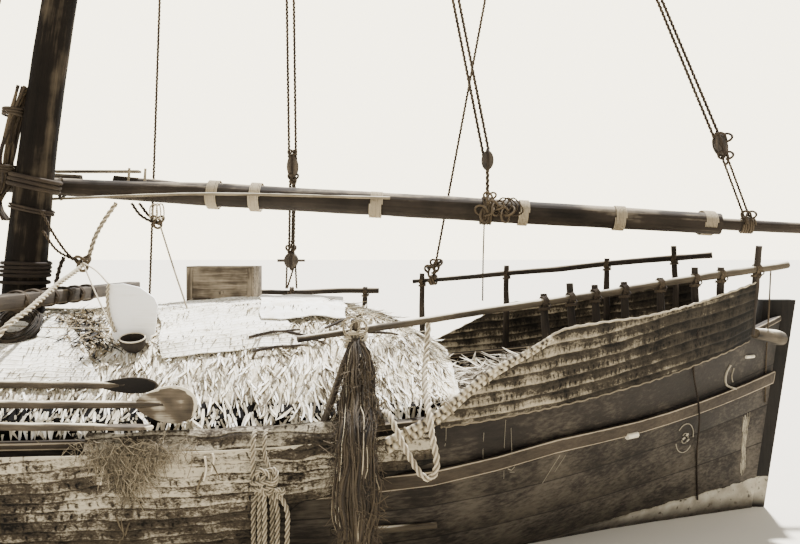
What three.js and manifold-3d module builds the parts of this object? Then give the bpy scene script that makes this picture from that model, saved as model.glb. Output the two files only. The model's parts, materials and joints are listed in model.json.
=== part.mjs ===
// An East African sailing dhow with her yard lowered, in millimetres.
// x runs to the bow, y to port, z up; the origin is on the waterline at the middle of her length.
import * as THREE from 'three';
import { mergeVertices } from 'three/addons/utils/BufferGeometryUtils.js';
import Module from 'manifold-3d';

const wasm = await Module();
wasm.setup();

// Driving dimensions of the hull
const stemX = 7476;
const sternX = -7750;
const bowSheer = 1620;
const sternSheer = 1600;
const keelHalf = 75;
const plank = 60;
const touch = 1;
const gap = 10;

// Hull sections: place, height of the sheer, half beam there, height of the garboard,
// roundness of the bilge, hollowness of the floor
const sections = [
  { x: -7750, sheer: 1600, beam: 1250, garboard: -1180, bilge: 1.6, floor: 0.6 },
  { x: -6500, sheer: 1340, beam: 1550, garboard: -1180, bilge: 1.8, floor: 0.85 },
  { x: -5000, sheer: 1130, beam: 1800, garboard: -1170, bilge: 2.0, floor: 1.15 },
  { x: -3000, sheer: 970, beam: 1960, garboard: -1150, bilge: 2.3, floor: 1.7 },
  { x: 0, sheer: 900, beam: 2040, garboard: -1120, bilge: 2.5, floor: 2.2 },
  { x: 3000, sheer: 950, beam: 2000, garboard: -1100, bilge: 2.1, floor: 1.6 },
  { x: 4400, sheer: 1050, beam: 1880, garboard: -1100, bilge: 1.7, floor: 1.2 },
  { x: 5300, sheer: 1160, beam: 1600, garboard: -1090, bilge: 1.4, floor: 1.05 },
  { x: 6000, sheer: 1280, beam: 1280, garboard: -1080, bilge: 1.15, floor: 1.0 },
  { x: 6600, sheer: 1410, beam: 900, garboard: -1070, bilge: 1.05, floor: 1.0 },
  { x: 7100, sheer: 1530, beam: 480, garboard: -1060, bilge: 1.0, floor: 1.0 },
  { x: 7476, sheer: 1620, beam: 95, garboard: -1050, bilge: 1.0, floor: 1.0 },
];
const frames = [-7750, -7100, -6500, -5800, -5000, -4000, -3000, -2000, -1000, 0, 1000, 2000, 3000,
  3700, 4400, 4850, 5300, 5650, 6000, 6300, 6600, 6850, 7100, 7300, 7476];
const plankRows = 11;

// Mast: its centre line bends forward, x = foot + lean z + bend z squared
const mastFoot = 785.6;
const mastLean = 0.01991;
const mastBend = 1.6111e-5;
const mastRadii = [
  { z: -1082, r: 60 }, { z: -1035, r: 90 }, { z: -850, r: 190 }, { z: 600, r: 190 },
  { z: 1880, r: 185 }, { z: 3100, r: 165 }, { z: 4430, r: 150 }, { z: 8200, r: 119 }, { z: 11900, r: 80 },
];
const mastHeights = [-1082, -1035, -850, 600, 1880, 2500, 3100, 3760, 4430, 5200, 6000, 6800, 7600,
  8400, 9200, 10000, 10700, 11300, 11900];

// Yard: heights of its swing axis on the mast, and its place beside the mast
const swingLow = 2820;
const swingHigh = 11600;
const yardSide = 380;
const yardSlope = 0.0556;

// Ropes and light poles
const ropeRadius = 15;
const railRadius = 32;
const postRadius = 24;

const group = new THREE.Group();
const point = (x, y, z) => new THREE.Vector3(x, y, z);
const mirrored = (p) => point(p.x, -p.y, p.z);
const mix = (a, b, t) => a + (b - a) * t;
const smooth = (t) => {
  const k = THREE.MathUtils.clamp(t, 0, 1);
  return k * k * (3 - 2 * k);
};

const finishes = {
  hull: { color: 0x3b3027, roughness: 0.85 },
  timber: { color: 0x6a5947, roughness: 0.85 },
  spar: { color: 0x57493a, roughness: 0.8 },
  thatch: { color: 0xcdbf9d, roughness: 0.95 },
  matting: { color: 0x8a7a5e, roughness: 0.95 },
  rope: { color: 0x4a3f33, roughness: 0.95 },
  paleRope: { color: 0xb9a888, roughness: 0.95 },
  blade: { color: 0x8c7b62, roughness: 0.75 },
};

function add(name, geometry, finish) {
  const material = new THREE.MeshStandardMaterial(finishes[finish]);
  const mesh = new THREE.Mesh(geometry, material);
  mesh.name = name;
  group.add(mesh);
  return mesh;
}

// Closed meshes are joined or cut as manifold solids
function solid(geometry) {
  let bare = geometry.clone();
  bare.deleteAttribute('normal');
  bare.deleteAttribute('uv');
  bare = mergeVertices(bare, 1e-3);
  const vertProperties = new Float32Array(bare.attributes.position.array);
  const triVerts = new Uint32Array(bare.index.array);
  return new wasm.Manifold(new wasm.Mesh({ numProp: 3, vertProperties, triVerts }));
}

function surface(manifold) {
  const mesh = manifold.getMesh();
  const geometry = new THREE.BufferGeometry();
  geometry.setAttribute('position', new THREE.BufferAttribute(new Float32Array(mesh.vertProperties), 3));
  geometry.setIndex(new THREE.BufferAttribute(new Uint32Array(mesh.triVerts), 1));
  geometry.computeVertexNormals();
  return geometry;
}

const join = (pieces) => surface(pieces.map(solid).reduce((a, b) => a.add(b)));
const cut = (body, tools) => surface(tools.map(solid).reduce((a, b) => a.subtract(b), solid(body)));

// A geometry from points and faces, its faces turned to point out
function closed(points, faces) {
  let volume = 0;
  for (let i = 0; i < faces.length; i += 3) {
    const [a, b, c] = [points[faces[i]], points[faces[i + 1]], points[faces[i + 2]]];
    volume += a.dot(b.clone().cross(c));
  }
  if (volume < 0) faces.reverse();
  const geometry = new THREE.BufferGeometry();
  geometry.setAttribute('position', new THREE.Float32BufferAttribute(points.flatMap((p) => p.toArray()), 3));
  geometry.setIndex(faces);
  geometry.computeVertexNormals();
  return geometry;
}

// A sheet with thickness between an outer and an inner grid of points
function slab(outer, inner) {
  const rows = outer.length;
  const columns = outer[0].length;
  const at = (side, r, c) => (side * rows + r) * columns + c;
  const faces = [];
  const quad = (a, b, c, d) => faces.push(a, b, c, a, c, d);
  for (let r = 0; r < rows - 1; r++) {
    for (let c = 0; c < columns - 1; c++) {
      quad(at(0, r, c), at(0, r + 1, c), at(0, r + 1, c + 1), at(0, r, c + 1));
      quad(at(1, r, c), at(1, r, c + 1), at(1, r + 1, c + 1), at(1, r + 1, c));
    }
    quad(at(0, r, 0), at(1, r, 0), at(1, r + 1, 0), at(0, r + 1, 0));
    const last = columns - 1;
    quad(at(0, r, last), at(0, r + 1, last), at(1, r + 1, last), at(1, r, last));
  }
  for (let c = 0; c < columns - 1; c++) {
    quad(at(0, 0, c), at(0, 0, c + 1), at(1, 0, c + 1), at(1, 0, c));
    const last = rows - 1;
    quad(at(0, last, c), at(1, last, c), at(1, last, c + 1), at(0, last, c + 1));
  }
  return closed([...outer.flat(), ...inner.flat()], faces);
}

// A solid through convex rings of points, with a fan at each end
function loft(rings) {
  const n = rings[0].length;
  const centre = (ring) => ring.reduce((s, p) => s.add(p), point(0, 0, 0)).divideScalar(n);
  const points = [...rings.flat(), centre(rings[0]), centre(rings[rings.length - 1])];
  const faces = [];
  const start = rings.length * n;
  for (let j = 0; j < n; j++) {
    const k = (j + 1) % n;
    for (let i = 0; i < rings.length - 1; i++) {
      faces.push(i * n + j, (i + 1) * n + j, (i + 1) * n + k, i * n + j, (i + 1) * n + k, i * n + k);
    }
    const top = (rings.length - 1) * n;
    faces.push(start, j, k, start + 1, top + k, top + j);
  }
  return closed(points, faces);
}

// A round spar through stations that hold a centre and a radius
function spar(stations, sides = 12) {
  const rings = stations.map((station, i) => {
    const before = stations[Math.max(i - 1, 0)].at;
    const after = stations[Math.min(i + 1, stations.length - 1)].at;
    const along = after.clone().sub(before).normalize();
    const across = point(0, 1, 0).cross(along);
    if (across.length() < 0.2) across.copy(point(1, 0, 0).cross(along));
    across.normalize();
    const third = along.clone().cross(across);
    return Array.from({ length: sides }, (_, j) => {
      const angle = (2 * Math.PI * j) / sides;
      return station.at.clone()
        .addScaledVector(across, station.r * Math.cos(angle))
        .addScaledVector(third, station.r * Math.sin(angle));
    });
  });
  return loft(rings);
}

const rod = (a, b, r, sides = 8, rEnd = r) => spar([{ at: a, r }, { at: b, r: rEnd }], sides);

// A rope of even thickness along a smooth curve
function rope(points, radius, steps, sides = 8) {
  const section = new THREE.Shape();
  for (let j = 0; j < sides; j++) {
    const angle = (2 * Math.PI * j) / sides;
    const [u, v] = [radius * Math.cos(angle), radius * Math.sin(angle)];
    if (j === 0) section.moveTo(u, v);
    else section.lineTo(u, v);
  }
  const extrudePath = new THREE.CatmullRomCurve3(points);
  return new THREE.ExtrudeGeometry(section, { steps, bevelEnabled: false, extrudePath });
}

// A flat plate cut to an outline in the plane of the keel, centred on it
function plate(outline, width) {
  const shape = new THREE.Shape(outline.map(([x, z]) => new THREE.Vector2(x, z)));
  const geometry = new THREE.ExtrudeGeometry(shape, { depth: width, bevelEnabled: false });
  return geometry.rotateX(Math.PI / 2).translate(0, width / 2, 0);
}

function box(size, centre) {
  return new THREE.BoxGeometry(size.x, size.y, size.z).translate(centre.x, centre.y, centre.z);
}

// A ring of rope or iron round an axis
function ring(centre, axis, inner, thickness, height, sides = 16) {
  const outer = inner + thickness;
  const profile = [[inner, -height / 2], [outer, -height / 2], [outer, height / 2], [inner, height / 2],
    [inner, -height / 2]].map(([u, v]) => new THREE.Vector2(u, v));
  const turn = new THREE.Quaternion().setFromUnitVectors(point(0, 1, 0), axis.clone().normalize());
  return new THREE.LatheGeometry(profile, sides).applyQuaternion(turn).translate(centre.x, centre.y, centre.z);
}

// A wooden block for ropes: a flattened ball
function block(centre, length, width, sides = 8) {
  return new THREE.SphereGeometry(1, sides, 6).rotateX(Math.PI / 2)
    .scale(width / 2, width * 0.35, length / 2).translate(centre.x, centre.y, centre.z);
}

// Value of one column of a table at x, on a fair curve through its rows
function fair(table, key, x) {
  let i = 0;
  while (i < table.length - 2 && x > table[i + 1].x) i++;
  const [a, b] = [table[i], table[i + 1]];
  const width = b.x - a.x;
  const slope = (j) => {
    const lo = table[Math.max(j - 1, 0)];
    const hi = table[Math.min(j + 1, table.length - 1)];
    return (hi[key] - lo[key]) / (hi.x - lo.x);
  };
  const t = THREE.MathUtils.clamp((x - a.x) / width, 0, 1);
  const h = [2 * t ** 3 - 3 * t ** 2 + 1, t ** 3 - 2 * t ** 2 + t, -2 * t ** 3 + 3 * t ** 2, t ** 3 - t ** 2];
  return h[0] * a[key] + h[1] * width * slope(i) + h[2] * b[key] + h[3] * width * slope(i + 1);
}

// The line where the planking ends on the stem, and the rake of the transom
const rabbet = (z) => 7230 + 0.152 * z - 0.00088 * Math.max(0, -300 - z) ** 2;
const transomX = (z) => sternX + 0.2857 * (sternSheer - z);

// A point on the outside of the starboard skin, on the frame at x and at height z
function skin(x, z, out = 0) {
  const s = { sheer: fair(sections, 'sheer', x), beam: fair(sections, 'beam', x),
    garboard: fair(sections, 'garboard', x), bilge: fair(sections, 'bilge', x),
    floor: fair(sections, 'floor', x) };
  const t = THREE.MathUtils.clamp((z - s.garboard) / (s.sheer - s.garboard), 0, 1);
  const half = Math.min(95, s.beam);
  const y = half + (s.beam - half) * (1 - (1 - t) ** s.bilge) ** (1 / s.floor);
  const forward = smooth((x - 4400) / (stemX - 4400)) * (rabbet(z) - rabbet(bowSheer));
  const aft = smooth((-4000 - x) / 3750) * (transomX(z) - sternX);
  return point(x + forward + aft, -(y + out), z);
}
const sheerAt = (x) => fair(sections, 'sheer', x);
const sheerSide = (x) => -skin(x, sheerAt(x)).y;

// Planking of one side: strakes from the garboard to the sheer on every frame
function planking() {
  const outer = frames.map((x) => {
    const low = fair(sections, 'garboard', x);
    const high = sheerAt(x);
    return Array.from({ length: plankRows }, (_, c) => {
      const t = c / (plankRows - 1);
      return skin(x, mix(low, high, mix(t, t * t, 0.45)));
    });
  });
  const inner = outer.map((row, r) => row.map((p, c) => {
    const ahead = outer[Math.min(r + 1, outer.length - 1)][c];
    const behind = outer[Math.max(r - 1, 0)][c];
    const above = row[Math.min(c + 1, plankRows - 1)];
    const below = row[Math.max(c - 1, 0)];
    const normal = above.clone().sub(below).cross(ahead.clone().sub(behind));
    if (normal.y > 0) normal.negate();
    normal.normalize();
    if (c === plankRows - 1) normal.set(0, -1.1, 0);
    const q = p.clone().addScaledVector(normal, -plank);
    q.y = Math.min(q.y, -(keelHalf + touch));
    if (r === 0 || r === outer.length - 1) q.x = p.x;
    return q;
  }));
  return [outer, inner];
}
const [skinOuter, skinInner] = planking();
add('planking_starboard', slab(skinOuter, skinInner), 'hull');
add('planking_port', slab(skinOuter.map((row) => row.map(mirrored)), skinInner.map((row) => row.map(mirrored))),
  'hull');

// Backbone: stem with its broad head, keel and raked sternpost
const stemHead = 1800;
const forefoot = 6350;
const keelBottom = -1300;
const stemFace = (z) => rabbet(z) + 120;
function stem() {
  const face = [];
  const back = [];
  for (let z = stemHead; z > -1080; z -= 240) {
    face.push([stemFace(z), z]);
    back.push([rabbet(z) - 150 - (z < -300 ? 60 : 0), z]);
  }
  const outline = [[rabbet(stemHead) - 160, stemHead], ...face, [forefoot + 60, keelBottom + 60],
    [forefoot, keelBottom], [forefoot, -1050], ...back.slice(1).reverse(), [rabbet(1500) - 150, 1500]];
  return plate(outline, 2 * keelHalf);
}
add('stem', stem(), 'hull');

const keelHeel = transomX(-1180) - 2 * keelHalf - 110;
add('keel', plate([[keelHeel, keelBottom], [forefoot - touch, keelBottom], [forefoot - touch, -1050],
  [4400, -1060], [-3000, -1110], [-6850, -1140], [-6850, -1182], [keelHeel, -1182]], 2 * keelHalf), 'hull');

const postTop = 1800;
const postFore = (z) => transomX(z) - plank - 2 * touch;
const postAft = (z) => postFore(z) - 200;
const hingeX = (z) => postAft(z) - 20;
const gudgeons = [-820, 120, 1060];
function sternpost() {
  const foot = -1181;
  const outline = [[postFore(foot), foot], [postFore(postTop), postTop], [postAft(postTop), postTop],
    [postAft(foot), foot]];
  const axis = point(-0.2857, 0, 1);
  const eyes = gudgeons.map((z) => join([
    ring(point(hingeX(z), 0, z), axis, 17, 12, 60, 12),
    cut(box(point(120, 40, 56), point(hingeX(z) + 55, 0, z)),
      [rod(point(hingeX(z - 60), 0, z - 60), point(hingeX(z + 60), 0, z + 60), 25, 12)]),
  ]));
  return join([plate(outline, 2 * keelHalf), ...eyes]);
}
add('sternpost', sternpost(), 'hull');

// Transom: a raked plate to the outline of the last frame, with a low crown
function transom() {
  const side = skinOuter[0].map((p) => point(transomX(p.z) - touch, p.y, p.z));
  const crown = [0.66, 0.33].map((k) => point(transomX(sternSheer + 150 * (1 - k * k)) - touch,
    -1250 * k, sternSheer + 150 * (1 - k * k)));
  const half = [...side, ...crown];
  const whole = [...half, point(transomX(sternSheer + 150) - touch, 0, sternSheer + 150),
    ...half.slice().reverse().map(mirrored)];
  const flat = new THREE.Shape(whole.map((p) => new THREE.Vector2(p.y, p.z)));
  const geometry = new THREE.ExtrudeGeometry(flat, { depth: plank, bevelEnabled: false });
  const position = geometry.attributes.position;
  for (let i = 0; i < position.count; i++) {
    const [y, z, d] = [position.getX(i), position.getY(i), position.getZ(i)];
    position.setXYZ(i, transomX(z) - touch - plank + d, y, z);
  }
  return geometry;
}
add('transom', transom(), 'hull');

// Wales and gunwales: square timbers bent along the sides
const waleHeight = (x) => fair([
  { x: -7750, z: 1180 }, { x: -5000, z: 800 }, { x: -1000, z: 560 }, { x: 2000, z: 560 },
  { x: 4400, z: 690 }, { x: 5300, z: 840 }, { x: 6000, z: 900 }, { x: 6600, z: 985 },
  { x: 7476, z: 1140 }], 'z', x);
const waleTall = 110;
const waleThick = 60;
function wale() {
  return frames.map((x) => [[-0.5, gap], [0.5, gap], [0.5, gap + waleThick], [-0.5, gap + waleThick]]
    .map(([up, out]) => skin(x, waleHeight(x) + up * waleTall, out)));
}
const gunwaleTall = 50;
const capAt = (x) => {
  const i = Math.max(1, frames.findIndex((f) => f >= x));
  const [a, b] = [frames[i - 1], frames[i]];
  return mix(sheerAt(a), sheerAt(b), (x - a) / (b - a)) + gunwaleTall + touch;
};
function gunwale() {
  return frames.map((x) => [[touch, -90], [touch, 30], [touch + gunwaleTall, 30], [touch + gunwaleTall, -90]]
    .map(([up, out]) => {
      const p = skin(x, sheerAt(x), out);
      p.y = Math.min(p.y, -(keelHalf + touch));
      return p.setZ(p.z + up);
    }));
}
const bothSides = (name, rings, finish) => {
  add(`${name}_starboard`, loft(rings), finish);
  add(`${name}_port`, loft(rings.map((r) => r.map(mirrored))), finish);
};
bothSides('wale', wale(), 'timber');
bothSides('gunwale', gunwale(), 'timber');

// Decks at the bow and the stern, between the planking of both sides
function deck(from, to, drop) {
  const places = frames.filter((x) => x >= from && x <= to);
  const across = [-1, -0.5, 0, 0.5, 1];
  const grid = (lower) => places.map((x) => {
    const z = sheerAt(x) - drop;
    const edge = -skin(x, z - plank).y - plank * 1.9;
    return across.map((k) => point(skin(x, z).x, k * edge, z + 40 * (1 - k * k) - lower));
  });
  return slab(grid(0), grid(plank));
}
add('foredeck', deck(4400, 7100, 90), 'timber');
add('poop_deck', deck(-7100, -5000, 160), 'timber');

// Mast
const mastX = (z) => mastFoot + mastLean * z + mastBend * z * z;
const mastAt = (z) => point(mastX(z), 0, z);
const mastRadius = (z) => {
  const i = Math.max(1, mastRadii.findIndex((s) => s.z >= z));
  const [a, b] = [mastRadii[i - 1], mastRadii[i]];
  return mix(a.r, b.r, (z - a.z) / (b.z - a.z));
};
add('mast', spar(mastHeights.map((z) => ({ at: mastAt(z), r: mastRadius(z) })), 14), 'spar');

// Hold cover: bent poles, thatch over them, and mats laid over the thatch
const coverSections = [
  { x: -4900, ridge: 1330, eave: 1130 }, { x: -4300, ridge: 1660, eave: 1090 },
  { x: -2000, ridge: 1760, eave: 1070 }, { x: 0, ridge: 1720, eave: 1060 },
  { x: 1200, ridge: 1690, eave: 1060 }, { x: 2400, ridge: 1760, eave: 1070 },
  { x: 3500, ridge: 1790, eave: 1090 }, { x: 4100, ridge: 1640, eave: 1130 },
  { x: 4600, ridge: 1330, eave: 1180 },
];
const thatchDepth = 70;
const coverEdge = (x) => sheerSide(x) - 150;
const coverSpan = [-1, -0.93, -0.8, -0.6, -0.3, 0, 0.3, 0.6, 0.8, 0.93, 1];
const ribSpan = [-0.9, -0.75, -0.5, 0, 0.5, 0.75, 0.9];
function coverPoint(x, k, lift) {
  const ridge = fair(coverSections, 'ridge', x);
  const eave = fair(coverSections, 'eave', x);
  return point(x, k * coverEdge(x), mix(eave, ridge, 1 - Math.abs(k) ** 2.2) + lift);
}
const halyardPost = point(170, -300, 2000);
function cover() {
  const places = [-4900, -4600, -4300, -3500, -2700, -2000, -1000, 0, 600, 1200, 1800, 2400, 3000,
    3500, 3800, 4100, 4350, 4600];
  const grid = (lift) => places.map((x) => coverSpan.map((k) => coverPoint(x, k, lift)));
  const holes = [
    rod(mastAt(1200), mastAt(2200), 235, 16),
    rod(point(halyardPost.x, halyardPost.y, 1000), point(halyardPost.x, halyardPost.y, 2200), 120, 12),
  ];
  return cut(slab(grid(0), grid(-thatchDepth)), holes);
}
add('thatch_cover', cover(), 'thatch');

const ribPlaces = [-4500, -2700, -1000, 500, 2100, 3400, 4200];
const poleRadius = 26;
function coverFrame() {
  const ribs = ribPlaces.map((x) => {
    const arch = ribSpan.map((k) => coverPoint(x, k, -thatchDepth - poleRadius - 30));
    const ends = [-1, 1].map((k) => point(x, k * (coverEdge(x) - 60), capAt(x) - 160));
    return spar([ends[0], ...arch, ends[1]].map((at) => ({ at, r: poleRadius })), 6);
  });
  const purlins = [-0.6, 0.6].map((k) => {
    const places = [-4600, ...ribPlaces, 4300];
    const drop = -thatchDepth - 2 * poleRadius - 30;
    return spar(places.map((x) => ({ at: coverPoint(x, k, drop), r: poleRadius })), 6);
  });
  return join([...ribs, ...purlins]);
}
add('cover_frame', coverFrame(), 'timber');

// Beam that the mast stands against, on a post at each gunwale
const beamX = 1230;
const beamBottom = 1780;
const beamHeight = 115;
function mastBeam() {
  const foot = capAt(beamX) + 4;
  const reach = sheerSide(beamX) + 32;
  const posts = [-1, 1].map((k) => box(point(90, 90, beamBottom - foot + 20),
    point(beamX, k * (reach - 45), (beamBottom + 20 + foot) / 2)));
  return join([box(point(150, 2 * reach, beamHeight), point(beamX, 0, beamBottom + beamHeight / 2)), ...posts]);
}
add('mast_beam', mastBeam(), 'timber');

add('halyard_post', join([
  rod(point(halyardPost.x, halyardPost.y, -850), halyardPost, 90, 12),
  rod(point(halyardPost.x - 210, halyardPost.y, 1900), point(halyardPost.x + 210, halyardPost.y, 1900), 30, 8),
]), 'timber');

// Wooden box on short legs over the port slope of the cover
const boxLow = point(2090, 900, 1640);
const boxSize = point(660, 520, 440);
function deckBox() {
  const centre = boxLow.clone().addScaledVector(boxSize, 0.5);
  const legs = [[60, 50], [60, 470], [600, 50], [600, 470]].map(([dx, dy]) => {
    const x = boxLow.x + dx;
    const y = boxLow.y + dy;
    const foot = coverPoint(x, (y - 30) / coverEdge(x), 12).z;
    return box(point(60, 60, boxLow.z - foot + 20), point(x, y, (boxLow.z + 20 + foot) / 2));
  });
  return join([box(boxSize, centre), ...legs]);
}
add('deck_box', deckBox(), 'timber');

// Rails: a light pole on each bow, lashed to short posts that stand on the gunwale
const starboardRail = [point(3480, -1750, 1610), point(7290, -672, 2112)];
const portRail = [point(4320, 1900, 1900), point(7150, 660, 2190)];
const portSidePole = [point(2200, 1950, 1770), point(3950, 1950, 1800)];
function onPole([a, b], x) {
  return a.clone().lerp(b, (x - a.x) / (b.x - a.x));
}
function railPosts(pole, places, side) {
  return places.map(([x, rise]) => {
    const top = onPole(pole, x);
    const foot = point(x, side * (sheerSide(x) - 35), capAt(x) + 16);
    const head = top.clone().add(top.clone().sub(foot).setLength(rise));
    return rod(foot, head, postRadius, 8);
  });
}
const starboardPosts = [[5244, 60], [5450, 110], [5645, 70], [5880, 60], [6177, 50],
  [6473, 90], [6697, 60], [7015, 190]];
const portPosts = [[4420, 80], [5290, 80], [6240, 60], [6830, 120]];
const poleOf = (ends, r = railRadius) => rod(ends[0], ends[1], r, 8, r * 0.8);
add('rail_starboard', join([poleOf(starboardRail), ...railPosts(starboardRail, starboardPosts, -1)]), 'spar');
add('rail_port', join([poleOf(portRail), ...railPosts(portRail, portPosts, 1)]), 'spar');
add('side_pole_port', join([poleOf(portSidePole),
  ...railPosts(portSidePole, [[2350, 40], [3800, 40]], 1)]), 'spar');

// Mats of plaited palm: a washstrake on each bow and mats hung over each side
const matThick = 24;
const bowMatTop = [
  { x: 4450, y: 1925, z: 1200 }, { x: 5080, y: 1740, z: 1540 }, { x: 5300, y: 1640, z: 1670 },
  { x: 5940, y: 1330, z: 1740 }, { x: 6480, y: 1030, z: 1840 }, { x: 7000, y: 730, z: 1970 },
];
const bowMatPlaces = [4450, 4750, 5080, 5300, 5600, 5940, 6200, 6480, 6750, 7000];
function bowMat() {
  const grid = (out) => bowMatPlaces.map((x) => {
    const foot = skin(x, sheerAt(x), 30 + gap + out).setX(x).setZ(sheerAt(x) - 10);
    const head = point(x, -(fair(bowMatTop, 'y', x) + out), fair(bowMatTop, 'z', x));
    head.y = Math.min(head.y, foot.y + 60);
    return [0, 0.25, 0.5, 0.75, 1].map((t) => foot.clone().lerp(head, t));
  });
  return [grid(matThick), grid(0)];
}
const [bowOut, bowIn] = bowMat();
add('bow_mat_starboard', slab(bowOut, bowIn), 'matting');
add('bow_mat_port', slab(bowOut.map((r) => r.map(mirrored)), bowIn.map((r) => r.map(mirrored))), 'matting');

const matFoot = (x) => mix(60, 560, smooth((x - 3050) / 450)) + 0.3 * Math.max(0, x - 3500);
function hangingMat() {
  const places = [...frames, 3250, 3500].filter((x) => x >= -5000 && x <= 4400).sort((a, b) => a - b);
  const grid = (out) => places.map((x) => {
    const low = matFoot(x);
    const high = sheerAt(x) - 20;
    return [0, 0.2, 0.4, 0.6, 0.8, 1].map((t) => {
      const z = mix(low, high, t);
      return skin(x, z, 2 * gap + waleThick + out + 12 * Math.sin(Math.PI * t));
    });
  });
  return [grid(matThick), grid(0)];
}
const [hangOut, hangIn] = hangingMat();
add('side_mat_starboard', slab(hangOut, hangIn), 'matting');
add('side_mat_port', slab(hangOut.map((r) => r.map(mirrored)), hangIn.map((r) => r.map(mirrored))), 'matting');

// Rolled mats lashed along the edge between the cover and the bow mat
const rollRadius = 50;
add('rolled_mat', rope([point(4090, -2095, 955), point(4400, -2062, 1120), point(4750, -1930, 1375),
  point(5080, -1825, 1545), point(5220, -1765, 1625)], rollRadius, 12, 10), 'matting');

// Yard: several spars fished together on the port side of the mast
const yardZ = (x) => 2800 - yardSlope * (x - 1300);
const yardRadii = [[200, 76], [1300, 82], [2500, 108], [4800, 108], [7120, 96]];
add('yard_main', spar(yardRadii.map(([x, r]) => ({ at: point(x, yardSide, yardZ(x)), r })), 12), 'spar');
add('yard_aft', rod(point(-6200, 475, yardZ(-6200) + 74), point(1200, 516, yardZ(1200) + 74), 46, 10, 62), 'spar');
add('yard_upper', rod(point(1500, 534, yardZ(1500) + 90), point(3400, 534, yardZ(3400) + 32), 60, 10, 28), 'spar');
add('yard_fish', box(point(800, 90, 24), point(1350, 520, 2970)), 'spar');
const foreSpar = [point(6300, 552, yardZ(6300) + 10), point(10500, 470, yardZ(10500) + 10)];
add('yard_fore', rod(foreSpar[0], foreSpar[1], 62, 10, 42), 'spar');
add('yard_batten', rope([point(1030, 248, 2697), point(2400, 248, 2742), point(4090, 248, 2706)], 13, 10, 6),
  'paleRope');

// Parrel: the rope collar and chock that hold the yard to the mast
const swingAxis = mastAt(swingHigh).sub(mastAt(swingLow)).normalize();
const swingCentre = mastAt(swingLow);
add('parrel', join([
  ring(swingCentre, swingAxis, mastRadius(swingLow) + 30, 40, 120, 20),
  box(point(150, 90, 90), point(swingCentre.x, 252, swingLow)),
]), 'rope');

// Yard tackles: they meet at a ring on the masthead, so they turn with the yard
const ringInner = mastRadius(swingHigh) + 22;
add('masthead_ring', ring(mastAt(swingHigh), swingAxis, ringInner, 26, 60, 16), 'rope');
const masthead = (drop, out, side = 0) => mastAt(swingHigh).addScaledVector(swingAxis, -drop)
  .add(point(out, side, 0));

function doubleRope(a, b, spread, radius = ropeRadius) {
  return [-1, 1].map((k) => rod(a.clone().add(point(k * spread, 0, 0)), b.clone().add(point(k * spread, 0, 0)),
    radius, 6));
}
const yardTop = (x, r) => point(x, yardSide, yardZ(x) + r);
function foreTackle() {
  const low = point(4985, yardSide, 3060);
  const sling = ring(point(4975, yardSide, yardZ(4975)), point(1, 0, -yardSlope), 111, 24, 110, 16);
  return join([sling, rod(yardTop(4975, 120), low, 20, 6), block(low, 190, 110),
    ...doubleRope(low, masthead(68, 105, 60), 24)]);
}
add('fore_tackle', foreTackle(), 'rope');

const peakBlock = point(5430, 190, 7070);
function peakTackle() {
  const low = point(7120, 365, 3200);
  const hold = onPole(foreSpar, 7430);
  const sling = ring(hold, foreSpar[1].clone().sub(foreSpar[0]), 62, 22, 110, 14);
  return join([sling, ...doubleRope(hold.clone().add(point(0, 0, 78)), low, 24),
    block(low, 210, 120), ...doubleRope(low, peakBlock, 24), block(peakBlock, 230, 130),
    rod(peakBlock, masthead(68, 115, -60), 20, 6)]);
}
add('peak_tackle', peakTackle(), 'rope');

// Standing ropes on the boat: shrouds to port, the fall of the peak tackle, the halyard purchase
const collarHeight = 11250;
function shroudTackle() {
  const foot = point(2990, 1950, 1784);
  const eye = ring(foot, point(1, 0, 0), 36, 22, 60, 12);
  const lower = point(2995, 1900, 2130);
  const upper = point(3035, 1700, 3130);
  const head = mastAt(collarHeight).add(point(60, 112, 0));
  const collar = ring(mastAt(collarHeight), point(0.38, 0, 1), mastRadius(collarHeight) + 8, 22, 60, 16);
  return join([eye, rod(point(2990, 1938, 1835), lower, 22, 6), block(lower, 180, 150),
    rod(point(2855, 1900, 2130), point(3135, 1900, 2130), 18, 6),
    ...doubleRope(lower, upper, 30), block(upper, 250, 120), ...doubleRope(upper, head, 24), collar]);
}
add('shroud_tackle', shroudTackle(), 'rope');

function singleShroud() {
  const z = 8700;
  const collar = ring(mastAt(z), point(0.3, 0, 1), mastRadius(z) + 8, 22, 60, 16);
  const foot = point(1400, sheerSide(1400) - 40, capAt(1400) + 6);
  return join([collar, rod(foot, mastAt(z).add(point(0, mastRadius(z) + 18, 0)), ropeRadius + 2, 8)]);
}
add('shroud_single', singleShroud(), 'rope');

function peakFall() {
  const foot = onPole(portRail, 4540);
  const eye = ring(foot, portRail[1].clone().sub(portRail[0]), 38, 22, 60, 12);
  const end = peakBlock.clone().lerp(foot, 0.035);
  return join([eye, rod(foot.clone().add(point(0, 0, 48)), end, ropeRadius + 2, 8),
    rod(foot.clone().add(point(-70, 0, 120)), foot.clone().add(point(90, 0, 200)), 20, 6)]);
}
add('peak_fall', peakFall(), 'rope');

function halyard() {
  const low = point(halyardPost.x, halyardPost.y - 130, 2350);
  const eye = ring(point(halyardPost.x, halyardPost.y, 1800), point(0, 0, 1), 93, 24, 60, 14);
  const collar = ring(mastAt(11000), point(0.37, 0, 1), mastRadius(11000) + 8, 22, 60, 16);
  const head = mastAt(11000).add(point(-80, -90, 0));
  return join([eye, rod(point(halyardPost.x, halyardPost.y - 112, 1800), low, 20, 6), block(low, 300, 150),
    ...doubleRope(low, head, 26), collar]);
}
add('halyard_purchase', halyard(), 'rope');

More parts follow.
